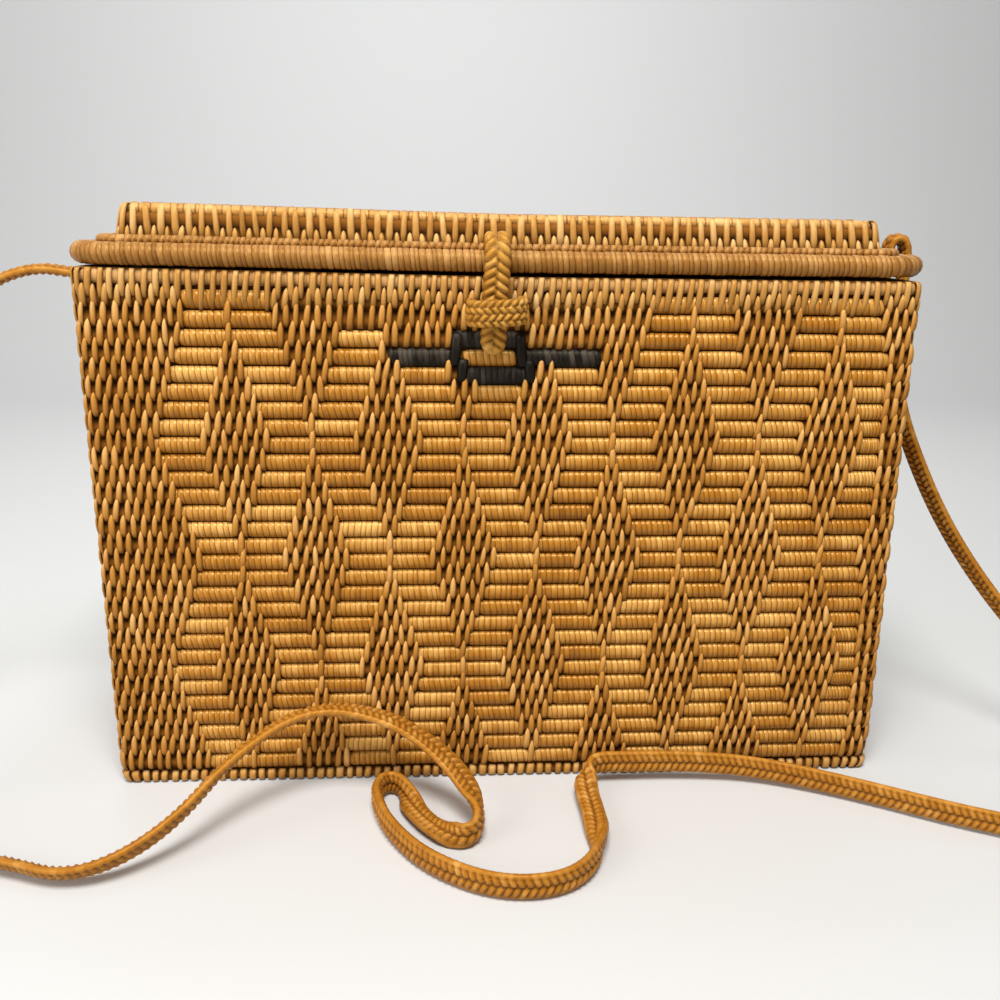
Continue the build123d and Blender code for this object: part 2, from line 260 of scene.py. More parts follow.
STITCH = StripShape(
    (-0.5, -0.42, -0.25, 0.0, 0.22, 0.4, 0.5),
    (0.9, 0.98, 1.0, 1.0, 0.92, 0.62, 0.14),
    (-1.1, -0.1, 0.7, 1.0, 0.95, 0.7, 0.2),
    (1.0, 0.6, 0.15, 0.0, 0.0, 0.0, 0.1),
)
OVER_EDGE = StripShape(
    (-0.5, -0.4, -0.16, 0.1, 0.34, 0.47, 0.5),
    (0.62, 0.88, 1.0, 1.0, 1.0, 0.95, 0.9),
    (-0.9, 0.15, 0.8, 1.0, 0.92, 0.3, -0.9),
    (1.0, 0.4, 0.05, 0.0, 0.0, 0.1, 0.4),
)
BLUNT = StripShape(
    (-0.5, -0.42, -0.2, 0.0, 0.2, 0.42, 0.5),
    (0.85, 0.97, 1.0, 1.0, 1.0, 0.97, 0.85),
    (-0.6, 0.5, 0.95, 1.0, 0.95, 0.5, -0.6),
    (0.9, 0.3, 0.0, 0.0, 0.0, 0.2, 0.7),
)


@dataclass(frozen=True)
class Unevenness:
    """How strips differ: spreads of place, ranges of size, and mean and spread of tone and lean."""

    place: float
    height: float
    lengths: tuple[float, float]
    widths: tuple[float, float]
    tones: tuple[float, float]
    leans: tuple[float, float]


BOX_STRIPS = Unevenness(0.16, 0.22, (0.94, 1.07), (0.84, 1.12), (0.47, 0.08), (-0.07, 0.05))
LID_SIDE_STRIPS = Unevenness(0.16, 0.15, (0.97, 1.04), (0.86, 1.12), (0.5, 0.08), (0.02, 0.04))
LID_TOP_STRIPS = Unevenness(0.16, 0.0, (0.95, 1.06), (0.85, 1.1), (0.47, 0.08), (0.04, 0.05))


@dataclass
class Strips:
    """Many strips of one shape: where each one's middle is, and how it lies."""

    at: np.ndarray
    along: np.ndarray
    out: np.ndarray
    length: np.ndarray
    width: np.ndarray
    tone: np.ndarray
    lean: np.ndarray
    rise: float
    thickness: float

    @staticmethod
    def drawn(
        at: np.ndarray, along: np.ndarray, out: np.ndarray, size: tuple[float, float, float, float],
        uneven: Unevenness, draw: np.random.Generator,
    ) -> "Strips":
        """Strips of one size, made uneven.

        Args:
            at: the strips' middles.
            along: their directions, or one for all.
            out: their outward directions, or one for all.
            size: length, width, rise of the arch and thickness.
            uneven: how far they differ.
            draw: what the differences are drawn from.
        Returns:
            The strips.
        """
        count = len(at)
        length, width, rise, thickness = size
        return Strips(
            at=at,
            along=np.broadcast_to(along, at.shape),
            out=np.broadcast_to(out, at.shape),
            length=length * draw.uniform(*uneven.lengths, count),
            width=width * draw.uniform(*uneven.widths, count),
            tone=draw.normal(*uneven.tones, count),
            lean=draw.normal(*uneven.leans, count),
            rise=rise,
            thickness=thickness,
        )

    def surface(self, shape: StripShape) -> Surface:
        """A closed shell for each strip: a six-sided ring, carried along an arched line.

        A ring point lies at the middle, plus along times its share of the length, plus across times its
        share of the width, plus out times the line's lift and its share of the thickness.

        Args:
            shape: the form that all the strips share.
        Returns:
            The surface of all the strips.
        """
        count, stations, ring = len(self.at), len(shape.along_shares), len(RING_ACROSS)
        across = np.cross(self.out, self.along)
        run = np.array(shape.along_shares)[None, :, None]
        broad = np.array(shape.width_shares)[None, :, None]
        wide = broad * RING_ACROSS / 2
        lift = np.array(shape.lift_shares)[None, :, None] * self.rise
        lift = lift + RING_OUT * self.thickness * (THIN_SHARE + BROAD_SHARE * broad)
        run_far = (run * self.length[:, None, None] + 0 * RING_ACROSS)[..., None]
        side = (wide * self.width[:, None, None] + self.lean[:, None, None] * run_far[..., 0])[..., None]
        points = self.at[:, None, None] + self.along[:, None, None] * run_far
        points = points + across[:, None, None] * side + self.out[:, None, None] * lift[..., None]
        # Painted shade: darker at a strip's edges, its underside and its tucked-in ends.
        depth = np.maximum(RING_PAINTED_SHADE[None], np.array(shape.end_painted_shade_shares)[:, None])
        quads = repeated_quads(count, tube_quads(stations, ring), stations * ring)
        return Surface.marked(points, quads, self.tone[:, None, None], depth, run + 0.5)


WRAP_SHARES = np.array((0.0, 0.16, 0.84))
WRAP_HEIGHTS = np.array((-1.0, 0.1, 0.1))
# Painted shade in the groove between two turns of the strip.
WRAP_PAINTED_SHADE = np.array((0.9, 0.0, 0.0))
LOOP_RING = 14
LOOP_WIDTHS = (0.7, 1.3)
LOOP_BUMPS = (-0.03, 0.03)
LOOP_TONES = (0.5, 0.07)
BAR_ANGLES = np.radians((-102, -64, -32, 0, 32, 64, 102, 180))
BAR_POWER = 0.92


@dataclass(frozen=True)
class WrappedBars:
    """Short rods that lie along the wall, each wound with a fine strip."""

    wraps: int
    half_height: float
    half_depth: float
    groove: float = 0.27
    worn: float = 0.035
    wrap_widths: tuple[float, float] = (0.8, 1.2)
    bump_range: tuple[float, float] = (-0.06, 0.08)
    slants: tuple[float, float] = (-0.16, 0.14)
    tones: tuple[float, float] = (0.52, 0.065)
    end_shrink: float = 0.2
    end_from: float = 0.45
    end_reach: float = 0.05
    # Painted shade: how far the lower side and the underside of a bar darken.
    shade_low: float = 1.5
    shade_under: float = 0.55

    def surface(
        self, middle: np.ndarray, along: np.ndarray, out: np.ndarray, length: np.ndarray, seed: int
    ) -> Surface:
        """Tubes of flattened section whose radius dips at each turn of the strip, a little askew.

        Args:
            middle: the middle of each bar's axis.
            along: each bar's direction.
            out: each bar's outward direction.
            length: each bar's length.
            seed: number that the unevenness is drawn from.
        Returns:
            The surface of all the bars.
        """
        draw = np.random.default_rng(seed)
        count, ring = len(middle), len(BAR_ANGLES)
        widths = draw.uniform(*self.wrap_widths, (count, self.wraps))
        reached = np.concatenate((np.zeros((count, 1)), np.cumsum(widths, axis=1)), axis=1)
        edges = reached / widths.sum(axis=1)[:, None]
        run = edges[:, :-1, None] + np.diff(edges)[..., None] * WRAP_SHARES
        run = np.concatenate((run.reshape(count, -1), np.ones((count, 1))), axis=1) - 0.5
        high = np.append(np.tile(WRAP_HEIGHTS, self.wraps), WRAP_HEIGHTS[0]) * self.groove
        stations = run.shape[1]
        bumps = np.repeat(draw.uniform(*self.bump_range, (count, self.wraps)), len(WRAP_SHARES), axis=1)
        bumps = np.concatenate((bumps, bumps[:, -1:]), axis=1)
        up = np.cross(out, along)
        axis_out = bent(np.cos(BAR_ANGLES), BAR_POWER)
        axis_up = bent(np.sin(BAR_ANGLES), BAR_POWER)
        slant = draw.normal(*self.slants, count)
        shift = slant[:, None, None] * axis_up * self.half_height * 0.5
        end_pull = 1 - self.end_shrink * np.maximum(0, (np.abs(run) - self.end_from) / self.end_reach)
        grow = (1 + (high[None] + bumps) / self.half_depth) * end_pull
        points = middle[:, None, None] + along[:, None, None] * (run * length[:, None])[:, :, None, None]
        points = points + along[:, None, None] * shift[..., None]
        points = points + up[:, None, None] * (end_pull[..., None] * axis_up * self.half_height)[..., None]
        points = points + out[:, None, None] * (grow[..., None] * axis_out * self.half_depth)[..., None]
        tones = draw.normal(*self.tones, (count, 1)) + draw.normal(0, self.worn, (count, self.wraps))
        tones = np.repeat(tones, len(WRAP_SHARES), axis=1)
        tones = np.concatenate((tones, tones[:, -1:]), axis=1)[..., None]
        # Painted shade: dark in the grooves between turns, on the lower side and, most, underneath.
        depth = np.append(np.tile(WRAP_PAINTED_SHADE, self.wraps), WRAP_PAINTED_SHADE[0])
        sunk = np.clip(0.5 - axis_out, 0, 1) * np.where(axis_up < 0, self.shade_low, 1.0)
        sunk = np.maximum(sunk, -self.shade_under * axis_up)
        depth = np.maximum(depth[None, :, None], sunk)
        quads = repeated_quads(count, tube_quads(stations, ring), stations * ring)
        # The along mark rises towards the top of the section: a painted highlight on the upper side.
        return Surface.marked(points, quads, tones, depth, 0.5 + 0.5 * axis_up)


def wound_loop(
    plan: Plan, height: float, radius: float, wrap: float, groove: float, slant: float, seed: int
) -> Surface:
    """A rod round a plan, wound with a strip: a tube whose radius dips at each turn.

    Args:
        plan: the way of the rod's axis.
        height: z of the axis.
        radius: radius over the strip.
        wrap: width of the strip.
        groove: depth between two turns.
        slant: how far a turn runs along the rod from its underside to its top.
        seed: number that the unevenness is drawn from.
    Returns:
        The closed surface.
    """
    draw = np.random.default_rng(seed)
    turns = int(plan.length() / wrap)
    widths = draw.uniform(*LOOP_WIDTHS, turns)
    edges = np.concatenate(([0], np.cumsum(widths))) / widths.sum()
    run = (edges[:-1, None] + np.diff(edges)[:, None] * WRAP_SHARES).ravel() * plan.length()
    bumps = np.repeat(draw.uniform(*LOOP_BUMPS, turns), len(WRAP_SHARES)) * radius
    grow = radius + np.tile(WRAP_HEIGHTS, turns) * groove + bumps
    angle = np.linspace(0, 2 * np.pi, LOOP_RING, endpoint=False)
    way = run[:, None] + slant * np.sin(angle)[None]
    spots, normals = plan.at(way.ravel())
    reach = grow[:, None] * np.cos(angle)
    points = spots + normals * reach.ravel()[:, None]
    points[:, 2] = height + (grow[:, None] * np.sin(angle)).ravel()
    tones = np.repeat(np.clip(draw.normal(*LOOP_TONES, turns), 0, 1), len(WRAP_SHARES))[:, None]
    # Painted shade in the grooves between turns; the along mark, higher on the upper half, paints a highlight
    # there.
    depth = np.tile(WRAP_PAINTED_SHADE, turns)[:, None]
    quads = tube_quads(len(run), LOOP_RING, looped=True)[:, ::-1]
    return Surface.marked(points.reshape(*way.shape, 3), quads, tones, depth, 0.5 + 0.5 * np.sin(angle))


def carried_ring(plans: list[Plan], heights: np.ndarray, depths: np.ndarray, tone: float) -> Surface:
    """A closed profile carried round nested plans, one plan for each point of the profile.

    Args:
        plans: plan of each profile point.
        heights: z of each profile point.
        depths: depth mark of each profile point, which paints shade over it.
        tone: tone mark of the whole surface.
    Returns:
        The closed surface.
    """
    spots = np.stack([plan.stations()[0] for plan in plans], axis=1)
    spots[..., 2] = heights
    stations, ring = spots.shape[:2]
    return Surface.marked(spots, tube_quads(stations, ring, looped=True), tone, depths)


def slab(low: np.ndarray, high: np.ndarray, pitch: float, ridge: float, tone: float) -> Surface:
    """A flat slab with coils along X above and below: a scalloped section carried along X.

    Args:
        low: lowest corner.
        high: highest corner.
        pitch: distance between coils.
        ridge: height of a coil over the line between two.
        tone: tone mark of the whole surface.
    Returns:
        The closed surface.
    """
    coils = max(2, round((high[1] - low[1]) / pitch))
    across = np.linspace(low[1], high[1], 4 * coils + 1)
    wave = np.abs(np.sin(np.linspace(0, coils * np.pi, 4 * coils + 1)))
    top = np.stack((across, high[2] - ridge + ridge * wave), axis=-1)
    foot = np.stack((across, low[2] + ridge - ridge * wave), axis=-1)
    section = np.concatenate((foot, top[::-1]))
    run = np.linspace(low[0], high[0], 9)
    points = np.zeros((len(run), len(section), 3))
    points[..., 0] = run[:, None]
    points[..., 1:] = section
    # Painted shade, darker in the hollows between coils.
    depth = 0.75 - 0.5 * np.concatenate((wave, wave))
    return Surface.marked(points, tube_quads(len(run), len(section)), tone, depth)


@dataclass(frozen=True)
class Braid:
    """A flat plait: an oval band with slanted lumps in columns on both faces."""

    width: float
    thickness: float
    pitch: float
    columns: int
    lump: float
    ring: int = 24
    slant: float = 0.9
    piping: float = 0.0
    seam_floor: float = 0.45
    section_power: float = 3.2
    edge_swell: float = 0.74
    tip_swell: float = 0.7
    tip_power: float = 2.5

    def surface(
        self, line: np.ndarray, wide: np.ndarray, seed: int, tips: tuple[float, float] = (0.0, 0.0)
    ) -> Surface:
        """The plait along a line: a rounded section, raised by the lumps' height.

        A lump's height is the sine of its place in the pitch, with each column slanted against the next,
        and falls to nothing at the column's sides.

        Args:
            line: evenly spaced points.
            wide: the width's direction at each point.
            seed: number that the unevenness is drawn from.
            tips: lengths of the rounded ends, or zeros for cut ones.
        Returns:
            The closed surface.
        """
        draw = np.random.default_rng(seed)
        forward = unit(np.gradient(line, axis=0))
        side = unit(wide - forward * np.sum(wide * forward, axis=1, keepdims=True))
        face = np.cross(forward, side)
        way = reached_at(line)
        across = np.linspace(1, -1, self.ring // 2 + 1)
        flat = np.concatenate((across, across[-2:0:-1]))
        upper = np.where(np.arange(self.ring) < len(across), 1, -1)
        deep = np.sqrt(1 - np.abs(flat) ** self.section_power) * upper
        place = (np.clip(flat / (1 - self.piping), -1, 1) + 1) / 2 * self.columns
        column = np.clip(np.floor(place), 0, self.columns - 1)
        inside = place - column
        lean = np.where(column % 2 == 0, 1, -1) * np.where(deep > 0, 1, -1)
        phase = way[:, None] / self.pitch + lean * (inside - 0.5) * self.slant + 0.5 * column
        wave = np.abs(np.sin(np.pi * phase)) ** 0.8
        seam = 1 - np.abs(2 * inside - 1) ** 3
        swell = wave * (self.seam_floor + (1 - self.seam_floor) * seam)
        swell = np.where(np.abs(flat) > 1 - 0.75 * self.piping, self.edge_swell + 0.1 * wave, swell)
        number = np.floor(phase).astype(int)
        hues = draw.normal(0.5, 0.08, (self.columns, number.max() - number.min() + 1))
        tones = hues[column.astype(int)[None] + 0 * number, number - number.min()]
        left = np.minimum(way / max(tips[0], 0.01), (way[-1] - way) / max(tips[1], 0.01))
        rounded = np.sqrt(np.clip(1 - (1 - np.clip(left, 0, 1)) ** 2, 0.02, 1))
        shrink = rounded if any(tips) else np.ones(len(line))
        swell = self.tip_swell + (swell - self.tip_swell) * shrink[:, None] ** self.tip_power
        over = (swell - 0.5) * self.lump
        reach = shrink[:, None] * (self.width / 2 * flat + 0.5 * over * flat)
        rise = np.sqrt(shrink)[:, None] * (self.thickness / 2 * deep + over * deep)
        points = line[:, None] + side[:, None] * reach[..., None] + face[:, None] * rise[..., None]
        # Painted shade between the lumps: the depth mark is one less the swell.
        return Surface.marked(points, tube_quads(len(line), self.ring)[:, ::-1], tones, 1 - swell)


def evenly(points: np.ndarray, step: float) -> np.ndarray:
    """A line's points, set again at even steps along it.

    Args:
        points: the line's points.
        step: distance between two new points.
    Returns:
        The new points.
    """
    reached = reached_at(points)
    count = max(3, int(reached[-1] / step))
    return between(np.linspace(0, reached[-1], count), reached, points)


class Grain(Enum):
    """Direction in which the fibres of a finish run."""

    UPRIGHT = (1.0, 1.0, 0.12)
    DEEP = (1.0, 0.12, 1.0)
    EVEN = (0.6, 0.6, 0.6)


# The first weight is the along mark's: lighter strip tips, and a painted highlight on the upper side of rods
# and rims.
TIP_AND_PAINTED_HIGHLIGHT_WEIGHT, BLOTCH_WEIGHT, FIBRE_WEIGHT = 0.3, 0.5, 0.35
TONE_SHIFT = 0.575
RAMP_LOW, RAMP_MIDDLE, RAMP_HIGH = 0.12, 0.5, 0.88
# Power on the depth mark before it mixes in the painted shade.
PAINTED_SHADE_POWER = 1.5
BLOTCH_SCALE, BLOTCH_DETAIL = 42.0, 4.0
FIBRE_DETAIL = 3.0
GLOSS_BELOW, GLOSS_ABOVE = 0.1, 0.12
BUMP_DISTANCE = 0.0002


@dataclass(frozen=True)
class CaneFinish:
    """Cane strip: colours by tone, lighter towards strip tips and with a painted highlight on rod tops, with
    painted shade where a strip dips, fine fibres and a low gloss.
    """

    name: str
    # Colour of the painted shade that the depth mark mixes in at gaps, grooves, tucked-in ends and
    # undersides.
    gap: tuple[float, float, float]
    low: tuple[float, float, float]
    middle: tuple[float, float, float]
    high: tuple[float, float, float]
    roughness: float
    grain: Grain
    fibre: float = 900.0
    bump: float = 0.25
    specular: float = 0.5
    shine: tuple[float, float, float] = (1.0, 0.66, 0.26)

    def material(self) -> bpy.types.Material:
        """The finish as nodes: tone ramp, blotches, fibres, and the painted shade of the gaps.

        Returns:
            The new material.
        """
        made = bpy.data.materials.new(self.name)
        made.use_nodes = True
        tree = made.node_tree
        shader = tree.nodes["Principled BSDF"]

        def node(kind: str, **values: object) -> bpy.types.Node:
            """A new node with some of its settings given."""
            new = tree.nodes.new(kind)
            for key, value in values.items():
                setattr(new, key, value)
            return new

        def link(source: bpy.types.NodeSocket, target: bpy.types.NodeSocket) -> None:
            """Join an output to an input."""
            tree.links.new(source, target)

        def noise(scale: float, detail: float, vector: bpy.types.NodeSocket) -> bpy.types.NodeSocket:
            """The output of a new noise texture."""
            new = node("ShaderNodeTexNoise")
            new.inputs["Scale"].default_value = scale
            new.inputs["Detail"].default_value = detail
            link(vector, new.inputs["Vector"])
            return new.outputs["Fac"]

        def added(
            source: bpy.types.NodeSocket, weight: float, base: bpy.types.NodeSocket
        ) -> bpy.types.NodeSocket:
            """A value times its weight, added to another value."""
            new = node("ShaderNodeMath", operation="MULTIPLY_ADD")
            new.inputs[1].default_value = weight
            link(source, new.inputs[0])
            link(base, new.inputs[2])
            return new.outputs[0]

        marks = node("ShaderNodeAttribute", attribute_name="strip")
        parts = node("ShaderNodeSeparateColor")
        link(marks.outputs["Color"], parts.inputs[0])
        place = node("ShaderNodeTexCoord")
        stretch = node("ShaderNodeMapping")
        stretch.inputs["Scale"].default_value = self.grain.value
        link(place.outputs["Object"], stretch.inputs["Vector"])
        fibres = noise(self.fibre, FIBRE_DETAIL, stretch.outputs["Vector"])
        blotch = noise(BLOTCH_SCALE, BLOTCH_DETAIL, place.outputs["Object"])
        # Painted highlight: the along mark lifts the tone on rod tops; on strips it lightens the tip.
        tip_and_highlight_tone = added(parts.outputs["Blue"], TIP_AND_PAINTED_HIGHLIGHT_WEIGHT, parts.outputs["Red"])
        sway = added(blotch, BLOTCH_WEIGHT, tip_and_highlight_tone)
        streak = added(fibres, FIBRE_WEIGHT, sway)
        centred = node("ShaderNodeMath", operation="SUBTRACT")
        centred.inputs[1].default_value = TONE_SHIFT
        link(streak, centred.inputs[0])
        ramp = node("ShaderNodeValToRGB")
        first, last = ramp.color_ramp.elements
        first.color, first.position = (*self.low, 1), RAMP_LOW
        last.color, last.position = (*self.high, 1), RAMP_HIGH
        halfway = ramp.color_ramp.elements.new(RAMP_MIDDLE)
        halfway.color = (*self.middle, 1)
        link(centred.outputs[0], ramp.inputs["Fac"])
        # Painted shade: the depth mark, raised to a power, mixes the gap colour over the tone colour.
        sunk = node("ShaderNodeMath", operation="POWER")
        sunk.inputs[1].default_value = PAINTED_SHADE_POWER
        link(parts.outputs["Green"], sunk.inputs[0])
        mix = node("ShaderNodeMix", data_type="RGBA")
        mix.inputs[7].default_value = (*self.gap, 1)
        link(sunk.outputs[0], mix.inputs[0])
        link(ramp.outputs["Color"], mix.inputs[6])
        link(mix.outputs[2], shader.inputs["Base Color"])
        gloss = node("ShaderNodeMapRange")
        gloss.inputs["To Min"].default_value = self.roughness - GLOSS_BELOW
        gloss.inputs["To Max"].default_value = self.roughness + GLOSS_ABOVE
        link(fibres, gloss.inputs["Value"])
        link(gloss.outputs["Result"], shader.inputs["Roughness"])
        relief = node("ShaderNodeBump")
        relief.inputs["Strength"].default_value = self.bump
        relief.inputs["Distance"].default_value = BUMP_DISTANCE
        link(fibres, relief.inputs["Height"])
        link(relief.outputs["Normal"], shader.inputs["Normal"])
        shader.inputs["Specular Tint"].default_value = (*self.shine, 1)
        shader.inputs["Specular IOR Level"].default_value = self.specular
        return made


# Colour of the painted shade in the gaps between strips and in their grooves.
PAINTED_SHADE_BROWN = (0.045, 0.0085, 0.0006)
STITCH_CANE = CaneFinish(
    "stitch_cane", PAINTED_SHADE_BROWN, low=(0.23, 0.082, 0.008), middle=(0.47, 0.205, 0.036), high=(0.74, 0.43, 0.15),
    roughness=0.42, grain=Grain.UPRIGHT,
)
EDGE_CANE = CaneFinish(
    "edge_cane", PAINTED_SHADE_BROWN, low=(0.25, 0.1, 0.015), middle=(0.48, 0.235, 0.056), high=(0.72, 0.46, 0.19),
    roughness=0.42, grain=Grain.UPRIGHT,
)
FLOAT_CANE = CaneFinish(
    "float_cane", PAINTED_SHADE_BROWN, low=(0.17, 0.051, 0.003), middle=(0.385, 0.15, 0.014), high=(0.76, 0.43, 0.12),
    roughness=0.3, grain=Grain.UPRIGHT, specular=0.65, shine=(1.0, 0.68, 0.3),
)
LID_CANE = CaneFinish(
    "lid_cane", PAINTED_SHADE_BROWN, low=(0.24, 0.085, 0.008), middle=(0.46, 0.2, 0.03), high=(0.7, 0.4, 0.12),
    roughness=0.42, grain=Grain.DEEP,
)
RIM_CANE = CaneFinish(
    "rim_cane", PAINTED_SHADE_BROWN, low=(0.14, 0.05, 0.006), middle=(0.3, 0.128, 0.026), high=(0.55, 0.3, 0.105),
    roughness=0.4, grain=Grain.EVEN,
)
CORE_CANE = CaneFinish(
    "core_cane", gap=(0.02, 0.004, 0.0006), low=(0.15, 0.045, 0.004), middle=(0.26, 0.09, 0.01),
    high=(0.36, 0.15, 0.03), roughness=0.6, grain=Grain.EVEN, specular=0.2,
)
BARE_ROD = CaneFinish(
    "bare_rod", gap=(0.3, 0.14, 0.045), low=(0.4, 0.19, 0.06), middle=(0.52, 0.27, 0.09),
    high=(0.64, 0.38, 0.16), roughness=0.5, grain=Grain.EVEN,
)
DYED_CANE = CaneFinish(
    "dyed_cane", gap=(0.002, 0.0015, 0.001), low=(0.003, 0.0024, 0.0018), middle=(0.007, 0.0055, 0.004),
    high=(0.06, 0.048, 0.036), roughness=0.45, grain=Grain.UPRIGHT, bump=0.5, specular=0.15,
    shine=(1.0, 0.9, 0.75),
)
STRAP_BRAID = CaneFinish(
    "strap_braid", gap=(0.1, 0.024, 0.0008), low=(0.3, 0.1, 0.006), middle=(0.44, 0.175, 0.018),
    high=(0.66, 0.34, 0.08), roughness=0.4, grain=Grain.EVEN,
)
CLOSURE_BRAID = CaneFinish(
    "closure_braid", gap=(0.09, 0.024, 0.0008), low=(0.32, 0.13, 0.012), middle=(0.48, 0.225, 0.034),
    high=(0.7, 0.41, 0.11), roughness=0.4, grain=Grain.EVEN,
)


class Dresser:
    """Writes surfaces as Blender pieces, each on its body and with its finish."""

    def __init__(self) -> None:
        """Start with no finish made."""
        self.made: dict[str, bpy.types.Material] = {}

    def finish(self, finish: CaneFinish) -> bpy.types.Material:
        """The material of a finish, made once."""
        if finish.name not in self.made:
            self.made[finish.name] = finish.material()
        return self.made[finish.name]

    def piece(
        self, name: str, surface: Surface, finish: CaneFinish, body: str,
        nodes: tuple[str, ...] = (),
    ) -> bpy.types.Object:
        """A smooth mesh object at the origin, which rides on a body.

        Args:
            name: the piece's name.
            surface: its points, faces and marks.
            finish: its finish.
            body: the body that it moves with.
            nodes: the CAD nodes that it stands for.
        Returns:
            The new object.
        """
        mesh = bpy.data.meshes.new(name)
        count = len(surface.quads)
        mesh.vertices.add(len(surface.points))
        mesh.vertices.foreach_set("co", (surface.points * MM).astype(np.float32).ravel())
        mesh.loops.add(4 * count)
        mesh.loops.foreach_set("vertex_index", surface.quads.astype(np.int32).ravel())
        mesh.polygons.add(count)
        mesh.polygons.foreach_set("loop_start", np.arange(0, 4 * count, 4, dtype=np.int32))
        mesh.polygons.foreach_set("use_smooth", np.ones(count, dtype=bool))
        mesh.update(calc_edges=True)
        marks = mesh.attributes.new("strip", "FLOAT_COLOR", "POINT")
        colours = np.ones((len(surface.points), 4), dtype=np.float32)
        colours[:, :3] = np.clip(surface.marks, 0, 1)
        marks.data.foreach_set("color", colours.ravel())
        mesh.materials.append(self.finish(finish))
        made = bpy.data.objects.new(name, mesh)
        bpy.context.scene.collection.objects.link(made)
        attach(made, body)
        if nodes:
            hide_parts(*nodes)
        LOG.info("%s: %d faces", name, count)
        return made


COIL_STEPS = (0.5, 0.3, 0.0, -0.3)
COIL_DIPS = (1.9, 1.35, 1.0, 1.35)
COIL_DIPS_INSIDE = (0.3, -0.35, -0.6, -0.35)
# Painted shade on the core's coils, darkest at the row boundaries between them.
COIL_PAINTED_SHADE = (1.0, 0.85, 0.1, 0.85)


